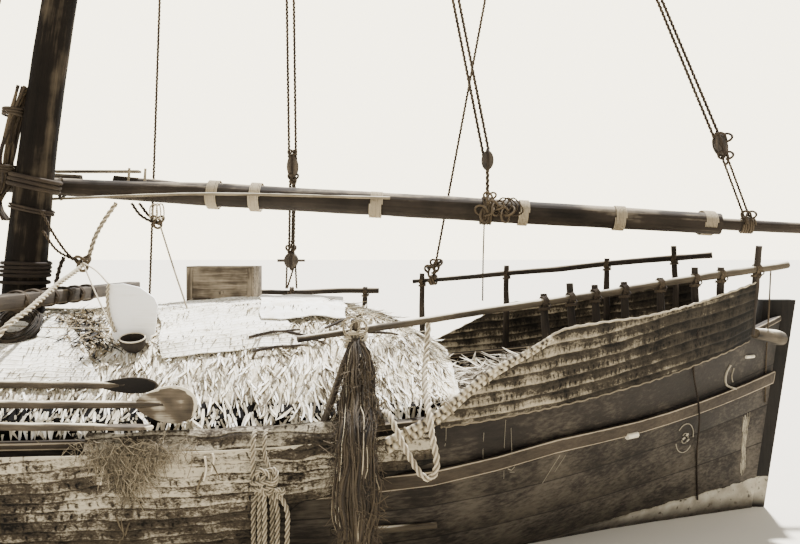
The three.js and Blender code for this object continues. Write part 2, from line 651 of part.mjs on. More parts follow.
// Pole lashed along the side below the mats, and a short log under the rail at the stem
const sidePole = [3720, 3900, 4100, 4430];
add('side_pole_starboard', spar(sidePole.map((x) => ({ at: skin(x, 320, 38), r: 26 })), 10), 'paleRope');
const bowLog = [
  { x: 7090, z: 1560, off: 138, r: 40 }, { x: 7140, z: 1548, off: 138, r: 50 },
  { x: 7320, z: 1498, off: 112, r: 64 }, { x: 7375, z: 1482, off: 108, r: 58 },
];
add('bow_log', spar(bowLog.map(({ x, z, off, r }) => ({ at: skin(x, z, off), r })), 12), 'paleRope');

// White board stood on edge on the starboard slope of the cover, on two feet
const boardLow = point(1985, -1120, 1570);
const boardThick = 26;
const boardOutline = [[30, 0], [350, 20], [372, 240], [345, 300], [240, 375], [110, 405], [0, 400], [8, 200]];
function whiteBoard() {
  const panel = plate(boardOutline, boardThick).translate(boardLow.x, boardLow.y, boardLow.z);
  const feet = [[60, 1534], [300, 1544]].map(([dx, z]) => box(point(40, boardThick, boardLow.z + 20 - z),
    point(boardLow.x + dx, boardLow.y, (boardLow.z + 20 + z) / 2)));
  return join([panel, ...feet]);
}
add('white_board', whiteBoard(), 'paleRope');

// Oars with round blades, stowed along the starboard edge of the cover
const oars = [
  { aft: -2060, side: -2130, foot: 1100, head: 1085, tip: 2600, blade: [60, 22] },
  { aft: -1700, side: -1790, foot: 1320, head: 1305, tip: 2540, blade: [16, 57] },
  { aft: -1800, side: -1960, foot: 1170, head: 1203, tip: 2845, blade: [16, 128] },
];
function oar(row) {
  const neck = point(row.tip - 420, row.side, row.head);
  const shaft = rod(point(-900, row.aft, row.foot), neck.clone().add(point(60, 0, 0)), 30, 8, 24);
  const blade = new THREE.SphereGeometry(1, 12, 8)
    .scale(210, ...row.blade)
    .translate(row.tip - 210, row.side, row.head);
  return join([shaft, blade]);
}
oars.forEach((row, i) => add(`oar_${i + 1}`, oar(row), 'blade'));

// Coir bundle tied to a post at the after end of the rail, its tails over the side
const bundleX = 3870;
function bundlePost() {
  const head = point(bundleX, -1718, 1640);
  const legs = [-210, 190].map((dx) => rod(point(bundleX + dx, 35 - sheerSide(bundleX), capAt(bundleX + dx) + 14),
    head, 24, 8));
  return join([...legs, rod(head.clone().add(point(0, 0, -60)), head.clone().add(point(0, -20, 110)), 30, 8)]);
}
const bundleTails = [[1500, 70, -1790], [1250, 110, -1880], [1010, 120, -2090], [700, 150, -2110], [380, 120, -2090]];
add('bundle_post', bundlePost(), 'spar');
add('coir_bundle', spar(bundleTails.map(([z, r, y]) => ({ at: point(bundleX + 30, y - 90, z), r })), 10), 'rope');

// Thick new rope hanging in a bight from the rail, over the rolled mat and back to the bundle post
const bightRadius = 22.5;
const bightRoute = [
  [4380, -1553, 1712], [4378, -1560, 1655], [4371, -1590, 1580], [4362, -1650, 1500], [4352, -1735, 1420],
  [4346, -1840, 1340], [4350, -1945, 1265], [4360, -2056, 1204], [4368, -2136, 1166], [4376, -2172, 1090],
  [4392, -2176, 1000], [4410, -2176, 910], [4412, -2176, 840], [4393, -2176, 787], [4355, -2176, 768],
  [4312, -2176, 795], [4275, -2176, 850], [4235, -2176, 920], [4195, -2174, 995], [4160, -2164, 1065],
  [4128, -2124, 1130], [4104, -2062, 1160], [4086, -1990, 1156], [4076, -1924, 1138],
];
add('rope_bight', rope(bightRoute.map((p) => point(...p)), bightRadius, 36), 'paleRope');

// Hank of rope hung over the starboard side by its own end
const hankRope = 17;
const hankWidth = 262;
const hankTop = 756;
const hankBottom = 170;
const hankX = 3352;
const hankSide = -2148;
const leadX = hankX - hankWidth / 2 + hankRope;
const leadRoute = [
  [-1965, 1036], [-2010, 1037], [-2062, 1036], [-2104, 1021], [-2130, 985], [-2137, 930], [-2137, 870],
  [-2133, 810], [-2131, hankTop + 1],
];
add('rope_lead', rope(leadRoute.map(([y, z]) => point(leadX, y, z)), hankRope, 14), 'paleRope');
function hank() {
  const r = hankWidth / 2;
  const outline = new THREE.Shape();
  outline.moveTo(-r, hankTop);
  outline.lineTo(-r, hankBottom + r);
  outline.absarc(0, hankBottom + r, r, Math.PI, 2 * Math.PI, false);
  outline.lineTo(r, hankTop - r);
  outline.absarc(0, hankTop - r, r, 0, Math.PI / 2, false);
  const thick = 6 * hankRope;
  return new THREE.ExtrudeGeometry(outline, { depth: thick, bevelEnabled: false, curveSegments: 6 })
    .rotateX(Math.PI / 2).translate(hankX, hankSide + thick / 2, 0);
}
add('rope_hank', hank(), 'paleRope');

// Steering gear: rudder hung on the sternpost, and its tiller over the transom
function rudder() {
  const edge = (z) => hingeX(z) - 36;
  const blade = plate([[edge(-1250), -1250], [edge(1900), 1900], [edge(1900) - 190, 1900],
    [edge(900) - 330, 900], [edge(100) - 520, 100], [edge(-900) - 820, -900], [edge(-1250) - 820, -1250]], 80);
  const arms = gudgeons.map((z) => join([
    box(point(78, 36, 50), point(hingeX(z - 80) - 44, 0, z - 80)),
    rod(point(hingeX(z - 100), 0, z - 100), point(hingeX(z + 55), 0, z + 55), 13, 10),
  ]));
  return join([blade, ...arms]);
}
add('rudder', rudder(), 'hull');
const tillerRoot = point(hingeX(1900) - 120, 0, 1966);
const tillerTip = point(-5750, 0, 2060);
add('tiller', join([rod(tillerRoot, tillerTip, 45, 10, 28),
  box(point(170, 120, 128), tillerRoot)]), 'timber');

export default group;
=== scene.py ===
import json
import math
import random

import bmesh
import bpy
from mathutils import Matrix, Quaternion, Vector, noise
from mathutils.bvhtree import BVHTree
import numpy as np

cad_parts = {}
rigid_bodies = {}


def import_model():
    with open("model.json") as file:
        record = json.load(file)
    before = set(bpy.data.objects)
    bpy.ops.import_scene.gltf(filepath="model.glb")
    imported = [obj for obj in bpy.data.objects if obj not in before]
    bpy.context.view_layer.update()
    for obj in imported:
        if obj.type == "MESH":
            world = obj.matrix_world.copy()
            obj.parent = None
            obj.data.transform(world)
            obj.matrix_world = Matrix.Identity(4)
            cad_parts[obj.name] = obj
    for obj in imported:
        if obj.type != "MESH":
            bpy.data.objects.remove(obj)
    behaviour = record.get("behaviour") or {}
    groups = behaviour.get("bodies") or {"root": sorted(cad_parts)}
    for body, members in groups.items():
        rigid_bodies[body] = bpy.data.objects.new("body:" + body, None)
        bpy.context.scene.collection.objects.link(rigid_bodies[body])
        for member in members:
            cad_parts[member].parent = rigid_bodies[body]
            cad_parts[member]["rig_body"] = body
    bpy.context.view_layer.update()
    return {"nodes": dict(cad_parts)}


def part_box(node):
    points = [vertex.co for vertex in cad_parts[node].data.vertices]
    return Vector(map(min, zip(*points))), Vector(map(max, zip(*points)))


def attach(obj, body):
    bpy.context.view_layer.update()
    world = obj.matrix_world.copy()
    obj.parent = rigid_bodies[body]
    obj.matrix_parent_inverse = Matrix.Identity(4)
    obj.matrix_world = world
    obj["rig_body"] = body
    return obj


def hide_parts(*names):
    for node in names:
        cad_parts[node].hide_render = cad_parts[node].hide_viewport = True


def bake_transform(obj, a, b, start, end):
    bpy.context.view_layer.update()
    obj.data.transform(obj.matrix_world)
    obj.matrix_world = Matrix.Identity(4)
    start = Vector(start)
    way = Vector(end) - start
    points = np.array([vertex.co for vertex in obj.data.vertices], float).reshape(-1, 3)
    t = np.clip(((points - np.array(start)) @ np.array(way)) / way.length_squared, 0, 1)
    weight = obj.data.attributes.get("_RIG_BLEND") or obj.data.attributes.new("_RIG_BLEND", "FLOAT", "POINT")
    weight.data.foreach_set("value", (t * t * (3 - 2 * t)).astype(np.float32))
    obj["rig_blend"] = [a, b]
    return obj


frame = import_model()

# Camera: off the starboard bow, level, 2.19 m above the waterline and 7.9 m off the centre plane.
# The horizon lies a little above the middle of the picture.
eye, lens_mm, sensor_mm, upright_shift = (4.18, -7.9, 2.19), 40.5, 36, -0.02125
camera = bpy.data.objects.new("camera", bpy.data.cameras.new("camera"))
camera.data.lens = lens_mm
camera.data.sensor_width = sensor_mm
camera.data.shift_y = upright_shift
camera.location = eye
camera.rotation_euler = (math.pi / 2, 0, 0)
bpy.context.scene.collection.objects.link(camera)
bpy.context.scene.camera = camera


# Loose ropes of new coir: a thick one hung in a bight from the rail, and a hank over the side.
# Coir fibre is spun to yarn and laid up right-handed in three strands, pale and hairy while it is new.
def linear(colour):
    """An sRGB hex colour as the linear values that a shader takes."""
    parts = [int(colour[i:i + 2], 16) / 255 for i in (1, 3, 5)]
    return [*(c / 12.92 if c <= 0.04045 else ((c + 0.055) / 1.055) ** 2.4 for c in parts), 1.0]


def node(tree, kind, settings=(), links=()):
    """Adds a shader node with its settings, and links sockets to its inputs."""
    made = tree.nodes.new("ShaderNode" + kind)
    for key, value in dict(settings).items():
        if key == "stops":
            first, *rest = value
            made.color_ramp.elements.remove(made.color_ramp.elements[1])
            made.color_ramp.elements[0].position = first[0]
            made.color_ramp.elements[0].color = linear(first[1])
            for place, colour in rest:
                made.color_ramp.elements.new(place).color = linear(colour)
        elif isinstance(key, int) or key in made.inputs:
            made.inputs[key].default_value = value
        else:
            setattr(made, key, value)
    for key, socket in dict(links).items():
        tree.links.new(socket, made.inputs[key])
    return made


def sums(tree, operation, *values):
    """The socket of a Math node; its values are numbers or sockets."""
    return node(tree, "Math",
                {"operation": operation, **{i: v for i, v in enumerate(values) if isinstance(v, float)}},
                {i: v for i, v in enumerate(values) if not isinstance(v, float)}).outputs[0]


def read(tree, name):
    """The socket of one of the mesh's attributes: grain is a vector, tone a number."""
    return node(tree, "Attribute", {"attribute_name": name}).outputs["Vector" if name == "grain" else "Fac"]


def spot_of(tree):
    """The socket of Object coordinates."""
    return node(tree, "TexCoord").outputs["Object"]


def mottle(tree, vector, scale, detail, roughness=0.5):
    """The socket of a noise texture."""
    return node(tree, "TexNoise", {"Scale": scale, "Detail": detail, "Roughness": roughness},
                {"Vector": vector}).outputs[0]


def drawn_out(tree, vector, *scale):
    """The socket of coordinates scaled by axis, so that a texture runs out along some of them."""
    return node(tree, "Mapping", {"Scale": scale}, {"Vector": vector}).outputs[0]


def fade(tree, value, near, far, low=0.0, high=1.0):
    """The socket of a value taken from one range to another, and held at its ends."""
    return node(tree, "MapRange", {"From Min": near, "From Max": far, "To Min": low, "To Max": high},
                {"Value": value}).outputs[0]


def ramp(tree, value, *stops):
    """The socket of a colour ramp with its stops."""
    return node(tree, "ValToRGB", {"stops": stops}, {0: value}).outputs[0]


def surface(name, build, roughness, relief, sheen=0.0, shine=0.5):
    """A material from a function that gives its colour and height sockets; relief is the bump's depth."""
    made = bpy.data.materials.new(name)
    made.use_nodes = True
    tree = made.node_tree
    tree.nodes.clear()
    colour, height = build(tree)
    bump = node(tree, "Bump", {"Distance": relief, "Strength": 1.0}, {"Height": height})
    shader = node(tree, "BsdfPrincipled",
                  {"Roughness": roughness, "Sheen Weight": sheen, "Specular IOR Level": shine},
                  {"Base Color": colour, "Normal": bump.outputs[0]})
    node(tree, "OutputMaterial", (), {"Surface": shader.outputs[0]})
    return made


def coir(groove, body, crest):
    """Laid coir: painted shade darkens it between the strands, and it is paler and hairy on their crests.
    Fibres are 1 to 2 mm apart.
    """
    def build(tree):
        fibre = mottle(tree, read(tree, "grain"), 420.0, 4.0)
        worn = sums(tree, "MULTIPLY_ADD", mottle(tree, spot_of(tree), 3.0, 3.0), 0.5,
                    sums(tree, "MULTIPLY_ADD", fibre, 0.35, -0.18))
        # The tone is painted shade, darkest in the valleys between the strands of laid rope.
        lit = sums(tree, "MULTIPLY_ADD", read(tree, "tone"), 0.62, worn)
        return ramp(tree, lit, (0.12, groove), (0.5, body), (0.95, crest)), fibre
    return build


new_coir = surface("new_laid_coir", coir("#30281e", "#9d9079", "#ddd2b9"), 0.95, 0.0015)
dull_coir = surface("dull_laid_coir", coir("#1c1711", "#7b6f5a", "#bfb49b"), 0.95, 0.0015)
old_coir = surface("tarred_coir", coir("#0f0c09", "#2d2620", "#6a5c48"), 0.9, 0.0015, shine=0.2)


def follow(route, step):
    """Evenly spaced points on a smooth curve through a route's points."""
    route = [Vector(p) for p in route]
    ends = [2 * route[0] - route[1], *route, 2 * route[-1] - route[-2]]
    fine = [route[0]]
    for a, b, c, d in zip(ends, ends[1:], ends[2:], ends[3:]):
        for i in range(1, 13):
            t = i / 12
            fine.append((2 * b + (c - a) * t + (2 * a - 5 * b + 4 * c - d) * t * t
                         + (3 * b - a - 3 * c + d) * t ** 3) / 2)
    travelled = [0.0]
    for p, q in zip(fine, fine[1:]):
        travelled.append(travelled[-1] + (q - p).length)
    count = max(2, round(travelled[-1] / step))
    even, j = [], 0
    for i in range(count + 1):
        want = travelled[-1] * i / count
        while j < len(fine) - 2 and travelled[j + 1] < want:
            j += 1
        span = max(travelled[j + 1] - travelled[j], 1e-9)
        even.append(fine[j].lerp(fine[j + 1], (want - travelled[j]) / span))
    return even


def angles(parts, count=None):
    """Angles a given part of a turn apart, for one turn or for a count of them."""
    return [2 * math.pi * k / parts for k in range(count or parts)]


def hitch(at, parts, size):
    """A trefoil knot's line about a point, with its size along each axis."""
    return [at + Vector((size[0] * (math.sin(t) + 2 * math.sin(2 * t)), -size[1] * math.sin(3 * t),
                         size[2] * (math.cos(t) - 2 * math.cos(2 * t)))) for t in angles(parts)]


def fresh():
    """An empty mesh with the two attributes that the materials read."""
    bm = bmesh.new()
    bm.verts.layers.float_vector.new("grain")
    bm.verts.layers.float.new("tone")
    return bm


def sweep(bm, points, radius, sides=8, lobe=0.0, pitch=0.0, tone=1.0):
    """A closed tube along points; radius is a number or a list. Lobe and pitch lay it up as three strands."""
    grain_of, tone_of = bm.verts.layers.float_vector["grain"], bm.verts.layers.float["tone"]
    last = len(points) - 1
    radii = radius if isinstance(radius, list) else [radius] * len(points)
    ahead = points[1] - points[0]
    turn = ahead.to_track_quat("Z", "Y")
    turns, travelled = [], [0.0]
    for i in range(last + 1):
        before, ahead = ahead, points[min(i + 1, last)] - points[max(i - 1, 0)]
        turn = before.rotation_difference(ahead) @ turn
        turns.append(turn @ Quaternion((0, 0, 1), 2 * math.pi * travelled[i] / pitch) if pitch else turn)
        travelled.append(travelled[i] + (points[min(i + 1, last)] - points[i]).length)
    first, seam = {}, {}
    ends = []
    for v in bmesh.ops.create_grid(bm, x_segments=sides, y_segments=last, size=0.5)["verts"]:
        k, i = round((v.co.x + 0.5) * sides), round((v.co.y + 0.5) * last)
        angle = 2 * math.pi * k / sides
        swell = 1 - lobe + lobe * math.cos(3 * angle)
        rim = Vector((math.cos(angle), math.sin(angle), 0)) * swell * radii[i]
        v.co = points[i] + turns[i] @ rim
        v[grain_of] = (rim.x, rim.y, travelled[i])
        # With a lobe the tone falls to nothing in the valleys between the strands: painted shade.
        v[tone_of] = tone * (swell - 1 + 2 * lobe) / (2 * lobe) if lobe else tone
        if k == 0:
            first[i] = v
        elif k == sides:
            seam[i] = v
        if i in (0, last) and k < sides:
            ends.append((i, v))
    bmesh.ops.weld_verts(bm, targetmap={seam[i]: first[i] for i in seam})
    for end in (0, last):
        rim_edges = {e for i, v in ends if i == end for e in v.link_edges if e.is_boundary}
        bmesh.ops.edgeloop_fill(bm, edges=list(rim_edges))


def laid(bm, points, radius, step=0.8, tone=1.0):
    """Three-strand rope along a route; step is in radii."""
    sweep(bm, follow(points, radius * step), radius, 12, 0.2, 7.4 * radius, tone)


def piece(name, bm, look, body, stands_for=(), crease=40):
    """Makes a mesh object of a bmesh, with its material and its body if it has just one, and hides the nodes
    that it stands for.
    """
    bmesh.ops.recalc_face_normals(bm, faces=bm.faces)
    mesh = bpy.data.meshes.new(name)
    bm.to_mesh(mesh)
    bm.free()
    mesh.materials.append(look)
    mesh.polygons.foreach_set("use_smooth", [True] * len(mesh.polygons))
    mesh.set_sharp_from_angle(angle=math.radians(crease))
    made = bpy.data.objects.new(name, mesh)
    bpy.context.scene.collection.objects.link(made)
    if body:
        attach(made, body)
    if stands_for:
        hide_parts(*stands_for)
    return made


bight_thick = 0.045
bight_route = [
    (4.380, -1.553, 1.712), (4.378, -1.560, 1.655), (4.371, -1.590, 1.580), (4.362, -1.650, 1.500),
    (4.352, -1.735, 1.420), (4.346, -1.840, 1.340), (4.350, -1.945, 1.265), (4.360, -2.056, 1.204),
    (4.368, -2.136, 1.166), (4.376, -2.172, 1.090), (4.392, -2.176, 1.000), (4.410, -2.176, 0.910),
    (4.412, -2.176, 0.840), (4.393, -2.176, 0.787), (4.355, -2.176, 0.768), (4.312, -2.176, 0.795),
    (4.275, -2.176, 0.850), (4.235, -2.176, 0.920), (4.195, -2.174, 0.995), (4.160, -2.164, 1.065),
    (4.128, -2.124, 1.130), (4.104, -2.062, 1.160), (4.086, -1.990, 1.156), (4.076, -1.924, 1.138),
]
bight_line = follow(bight_route, 0.018)
bm = fresh()
sweep(bm, bight_line, bight_thick / 2, 12, 0.2, 3.7 * bight_thick)
bight = piece("bight_of_new_rope", bm, new_coir, "hull", ["rope_bight"], 80)

hank_thick = 0.034
hank_top, hank_foot, hank_middle = 0.756, 0.170, 3.352
lead_x = 3.238
lead_route = [(lead_x, y, z) for y, z in [
    (-1.965, 1.036), (-2.010, 1.037), (-2.062, 1.036), (-2.104, 1.021), (-2.130, 0.985),
    (-2.137, 0.930), (-2.137, 0.870), (-2.133, 0.810), (-2.127, 0.760)]]
hank_loops = [(-0.114, 0.006, -2.114), (-0.070, 0.044, -2.148), (-0.032, 0.111, -2.182)]
gather_x, gather_from, gather_to, gather_pull = -0.045, 0.56, 0.70, 0.40


def hank_turns():
    """Three long loops, one before another, each a run down, a bend, a run up and a bend over to the next."""
    turns = []
    for i, (left, right, y) in enumerate(hank_loops):
        radius = (right - left) / 2
        low = hank_foot + hank_thick / 2 + radius
        high = hank_top - hank_thick / 2 - radius
        middle = hank_middle + (left + right) / 2
        turns += [(middle - radius, y, z) for z in (high, gather_from, (gather_from + low) / 2, low)]
        turns += [(middle - radius * math.cos(a), y, low - radius * math.sin(a))
                  for a in (math.pi * k / 8 for k in range(1, 8))]
        turns += [(middle + radius, y, z) for z in (low, (gather_from + low) / 2, gather_from, high)]
        if i < len(hank_loops) - 1:
            after, depth = hank_loops[i + 1][0], hank_loops[i + 1][2]
            radius_back = (right - after) / 2
            centre = hank_middle + (right + after) / 2
            turns += [(centre + radius_back * math.cos(a), y + (depth - y) * a / math.pi,
                       high + radius_back * math.sin(a)) for a in (math.pi * k / 8 for k in range(1, 8))]
    gathered = []
    for x, y, z in turns:
        pull = gather_pull * min(1.0, max(0.0, (z - gather_from) / (gather_to - gather_from)))
        middle = hank_middle + gather_x
        gathered.append((x + (middle - x) * pull, y, z))
    return gathered


hank_line = follow(lead_route + hank_turns(), 0.015)
bm = fresh()
sweep(bm, hank_line, hank_thick / 2, 12, 0.2, 3.7 * hank_thick)
hank = piece("hank_of_rope", bm, dull_coir, "hull", ["rope_lead", "rope_hank"], 80)
bm = fresh()
knot_at = hank_line[-1] + Vector((0, 0, 0.015))
laid(bm, hitch(knot_at, 24, (0.011, 0.0132, 0.011)), 0.013)
hank_knot = piece("hank_end_knot", bm, dull_coir, "hull", crease=80)
bm = fresh()
tie_height, tie_rise, tie_across, tie_deep = 0.680, 0.006, 0.074, 0.060
laid(bm, [(hank_middle + gather_x + tie_across * math.cos(t), -2.148 + tie_deep * math.sin(t),
           tie_height + tie_rise * t) for t in angles(16, 34)], 0.014)
laid(bm, hitch(Vector((3.335, -2.190, 0.765)), 24, (0.024, 0.0168, 0.0312)), 0.015)
hank_tie = piece("hank_tie", bm, dull_coir, "hull", crease=80)
bm = fresh()
second_route = [
    (3.311, -1.965, 1.036), (3.311, -2.062, 1.040), (3.311, -2.120, 1.010), (3.313, -2.140, 0.930),
    (3.345, -2.155, 0.830), (3.390, -2.160, 0.760), (3.372, -2.150, 0.700), (3.330, -2.140, 0.660)]
laid(bm, second_route, 0.015)
second_lead = piece("hank_second_lead", bm, dull_coir, "hull", crease=80)


# Hull planking: hardwood strakes on sawn frames, oiled nearly black, their seams caulked with cotton.
# Near the bow the bottom paint's lime band shows above the waterline, chalky and scuffed.
def side_copy(name):
    """A merged copy of a node's mesh."""
    bm = fresh()
    bm.from_mesh(frame["nodes"][name].data)
    bmesh.ops.remove_doubles(bm, verts=bm.verts, dist=1e-5)
    return bm


def hit_tree(name):
    """A tree to cast rays at the surface of a node."""
    copy = side_copy(name)
    tree = BVHTree.FromBMesh(copy)
    copy.free()
    return tree


def groove(bm, edges, width, depth):
    """Opens a V-shaped seam along edges."""
    made = bmesh.ops.bevel(bm, geom=edges, offset=width / 2, offset_type="OFFSET", segments=2,
                           profile=0.5, affect="EDGES", material=-1)
    faces = set(made["faces"])
    bm.normal_update()
    tone_of = bm.verts.layers.float["tone"]
    for v in made["verts"]:
        if v.is_valid and all(f in faces for f in v.link_faces):
            v.co -= v.normal * depth
            v[tone_of] = 0.0


def set_grain(bm, along):
    """Grain coordinates with the fibre along the given axis, 0 to 2 for x to z, and full tone."""
    grain_of, tone_of = bm.verts.layers.float_vector["grain"], bm.verts.layers.float["tone"]
    order = [(1, 2, 0), (2, 0, 1), (0, 1, 2)][along]
    for v in bm.verts:
        v[grain_of] = [v.co[i] for i in order]
        v[tone_of] = 1.0


def timber(dark, body, pale, fibre_mm=6.0):
    """Sawn or split wood: fibre along the grain attribute, broad stains, dark in seams."""
    def build(tree):
        grain = read(tree, "grain")
        fibre = mottle(tree, drawn_out(tree, grain, 1.0, 1.0, 0.05), 1000 / fibre_mm / 4, 6.0, 0.65)
        stain = sums(tree, "MULTIPLY_ADD", mottle(tree, grain, 2.2, 4.0, 0.6), 0.8, -0.12)
        seam = sums(tree, "MULTIPLY", sums(tree, "MULTIPLY_ADD", fibre, 0.7, stain), read(tree, "tone"))
        return ramp(tree, seam, (0.2, dark), (0.58, body), (0.85, pale)), fibre
    return build


band_low, band_high = 0.05, 0.276
band_from, band_to = 5.45, 7.4


def planked_side(tree):
    """Dark oiled planks with the lime band: its upper edge rises to the stem, and it flakes at the edges."""
    colour, height = timber("#090806", "#241f1a", "#4d463c")(tree)
    place = spot_of(tree)
    parts = node(tree, "SeparateXYZ", (), {0: place}).outputs
    flakes = mottle(tree, place, 9.0, 5.0)
    top = sums(tree, "ADD", fade(tree, parts["X"], band_from, band_to, band_low, band_high),
               sums(tree, "MULTIPLY_ADD", flakes, 0.06, -0.03))
    ahead = fade(tree, parts["X"], band_from - 0.1, band_from + 0.5)
    shown = sums(tree, "MULTIPLY", sums(tree, "LESS_THAN", parts["Z"], top), ahead)
    cover = sums(tree, "MULTIPLY", shown, fade(tree, mottle(tree, place, 22.0, 6.0), 0.28, 0.40, 0.0, 0.85))
    fouled = sums(tree, "MULTIPLY", cover, fade(tree, parts["Z"], 0.02, 0.13))
    limed = ramp(tree, flakes, (0.3, "#8f8776"), (0.7, "#c3bba8"))
    mixed = node(tree, "Mix", {"data_type": "RGBA"}, {0: fouled, 6: colour, 7: limed})
    return mixed.outputs[2], height


oiled_planks = surface("oiled_teak_planks", planked_side, 0.82, 0.003, shine=0.25)
bare_timber = surface("weathered_timber", timber("#17130f", "#463d32", "#998c77"), 0.88, 0.004, shine=0.25)
# Heights over which the painted shade under the mats fades out down the strakes.
mat_shade_top, mat_shade_foot = 1.05, 0.45
seam_width, seam_depth, seam_apart = 0.012, 0.006, 0.16


def strakes(name, port):
    """The skin with a caulked seam between its strakes."""
    bm = side_copy(name)
    bmesh.ops.join_triangles(bm, faces=bm.faces, angle_face_threshold=0.9, angle_shape_threshold=3.1)
    set_grain(bm, 0)
    out = Vector((0, 1 if port else -1, -1))
    bm.normal_update()
    seams = []
    for e in bm.edges:
        run = e.verts[1].co - e.verts[0].co
        if len(e.link_faces) == 2 and all(f.normal.dot(out) > 0.05 for f in e.link_faces):
            if abs(run.x) > 0.7 * run.length:
                seams.append(e)
    groove(bm, seams, seam_width, seam_depth)
    tone_of = bm.verts.layers.float["tone"]
    for v in bm.verts:
        # Painted shade under the hanging mats: the upper strakes are darker, and the tone rises towards the
        # waterline.
        clear_of_mat_shade = min(1.0, max(0.0, (mat_shade_top - v.co.z) / (mat_shade_top - mat_shade_foot)))
        v[tone_of] = max(v[tone_of], 0.45) * (0.86 + 0.26 * clear_of_mat_shade)
    return piece(name.replace("planking", "strakes"), bm, oiled_planks, "hull", [name], 50)


strakes("planking_starboard", False)
strakes("planking_port", True)


# Heavy timbers: keel, stem, sternpost, transom, wales, gunwales, decks, beams, box and steering gear.
# Adzed and sawn hardwood, its edges worn round, planks laid with open seams.
def dressed(name, look, along=0, worn=0.006, cuts=(), seam=0.008, depth=0.008, face=1.0, edge=1.0):
    """A copy of a node with seams where planes cut it, and its sharp edges rounded and rubbed pale."""
    bm = side_copy(name)
    bmesh.ops.dissolve_limit(bm, angle_limit=math.radians(1.0), verts=bm.verts, edges=bm.edges)
    set_grain(bm, along)
    sharp = [e for e in bm.edges if len(e.link_faces) == 2 and e.calc_face_angle(0) > 0.5]
    tone_of = bm.verts.layers.float["tone"]
    for v in bm.verts:
        v[tone_of] = face
    rounded = bmesh.ops.bevel(bm, geom=sharp, offset=worn, offset_type="OFFSET", segments=2, profile=0.5,
                              affect="EDGES", material=-1, clamp_overlap=True)
    turned = set(rounded["faces"])
    for v in rounded["verts"]:
        v[tone_of] = edge if all(f in turned for f in v.link_faces) else face
    seams = []
    for place, normal in cuts:
        whole = bm.verts[:] + bm.edges[:] + bm.faces[:]
        cut = bmesh.ops.bisect_plane(bm, geom=whole, plane_co=place, plane_no=normal)["geom_cut"]
        seams += [g for g in cut if isinstance(g, bmesh.types.BMEdge)]
    if seams:
        groove(bm, [e for e in seams if e.is_valid], seam, depth)
    return piece(name + "_timber", bm, look, frame["nodes"][name]["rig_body"], [name], 35)


plank_wide, box_plank = 0.22, 0.11
deck_seams = [((0, seam_apart * k, 0), (0, 1, 0)) for k in range(-12, 13)]
level_seams = [((0, 0, -1.0 + plank_wide * k), (0, 0, 1)) for k in range(14)]
box_low, box_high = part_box("deck_box")
box_seams = [((0, 0, box_low.z + box_plank + box_plank * k), (0, 0, 1)) for k in range(3)]
for name, slot, along, cuts in [
        ("stem", "hull_wood", 2, ()), ("keel", "hull_wood", 0, ()), ("sternpost", "hull_wood", 2, ()),
        ("transom", "hull_wood", 1, level_seams), ("rudder", "hull_wood", 2, ())]:
    dressed(name, oiled_planks, along, 0.008, cuts, face=0.55, edge=0.8)
for name, along, cuts, face, edge in [
        ("wale_starboard", 0, (), 0.66, 1.9), ("wale_port", 0, (), 0.66, 1.9),
        ("gunwale_starboard", 0, (), 0.62, 1.8), ("gunwale_port", 0, (), 0.62, 1.8),
        ("foredeck", 0, deck_seams, 1.0, 1.5), ("poop_deck", 0, deck_seams, 1.0, 1.5),
        ("cover_frame", 1, (), 0.7, 1.05), ("mast_beam", 1, (), 0.68, 1.05),
        ("halyard_post", 2, (), 0.7, 1.05), ("deck_box", 0, box_seams, 1.0, 1.7),
        ("tiller", 0, (), 0.9, 1.3)]:
    dressed(name, bare_timber, along, 0.014, cuts, face=face, edge=edge)
batten_in, batten_wide, batten_thick, knob_radius = 0.035, 0.05, 0.012, 0.022
bm = fresh()
for x in (box_low.x + batten_in, box_high.x - batten_in):
    middle = Vector((x, box_low.y - batten_thick / 3, (box_low.z + box_high.z) / 2))
    size = (batten_wide, batten_thick, box_high.z - box_low.z - 0.03, 1)
    bmesh.ops.create_cube(bm, size=1, matrix=Matrix.Translation(middle) @ Matrix.Diagonal(size))
knob_at = Vector((box_low.x * 0.48 + box_high.x * 0.52, box_low.y - batten_thick,
                  box_low.z * 0.4 + box_high.z * 0.6))
bmesh.ops.create_uvsphere(bm, u_segments=14, v_segments=8, radius=knob_radius,
                          matrix=Matrix.Translation(knob_at))
set_grain(bm, 2)
piece("box_battens", bm, bare_timber, "hull", crease=35)

# Loose boards laid athwart carry the poop deck on to the transom
skin_tree = hit_tree("planking_starboard")
deck_end, deck_top, deck_half, camber = -7.025, 1.337, 1.27, 0.040
boards, board_wide, board_thick, board_gap, skin_gap = 4, 0.142, 0.044, 0.008, 0.015
bm = fresh()
for k in range(boards):
    x = deck_end - board_wide * (k + 0.5) - board_gap / 2
    half = min(abs(skin_tree.ray_cast(Vector((x + d, 0, deck_top)), Vector((0, -1, 0)))[0].y)
               for d in (-board_wide / 2, board_wide / 2)) - skin_gap
    place = Matrix.Translation((x, 0, deck_top - board_thick / 2))
    size = Matrix.Diagonal((board_wide - board_gap, 2 * half, board_thick, 1))
    bmesh.ops.create_cube(bm, size=1, matrix=place @ size)
    athwart = [e for e in bm.edges if abs(e.verts[0].co.y - e.verts[1].co.y) > half]
    bmesh.ops.subdivide_edges(bm, edges=athwart, cuts=9)
for v in bm.verts:
    v.co.z -= camber * (v.co.y / deck_half) ** 2 - 0.004 * noise.noise(v.co * 2)
bmesh.ops.bevel(bm, geom=[e for e in bm.edges if e.calc_face_angle(0) > 1], offset=0.006, segments=2,
                profile=0.7, affect="EDGES")
set_grain(bm, 1)
piece("poop_boards", bm, bare_timber, "hull", crease=35)

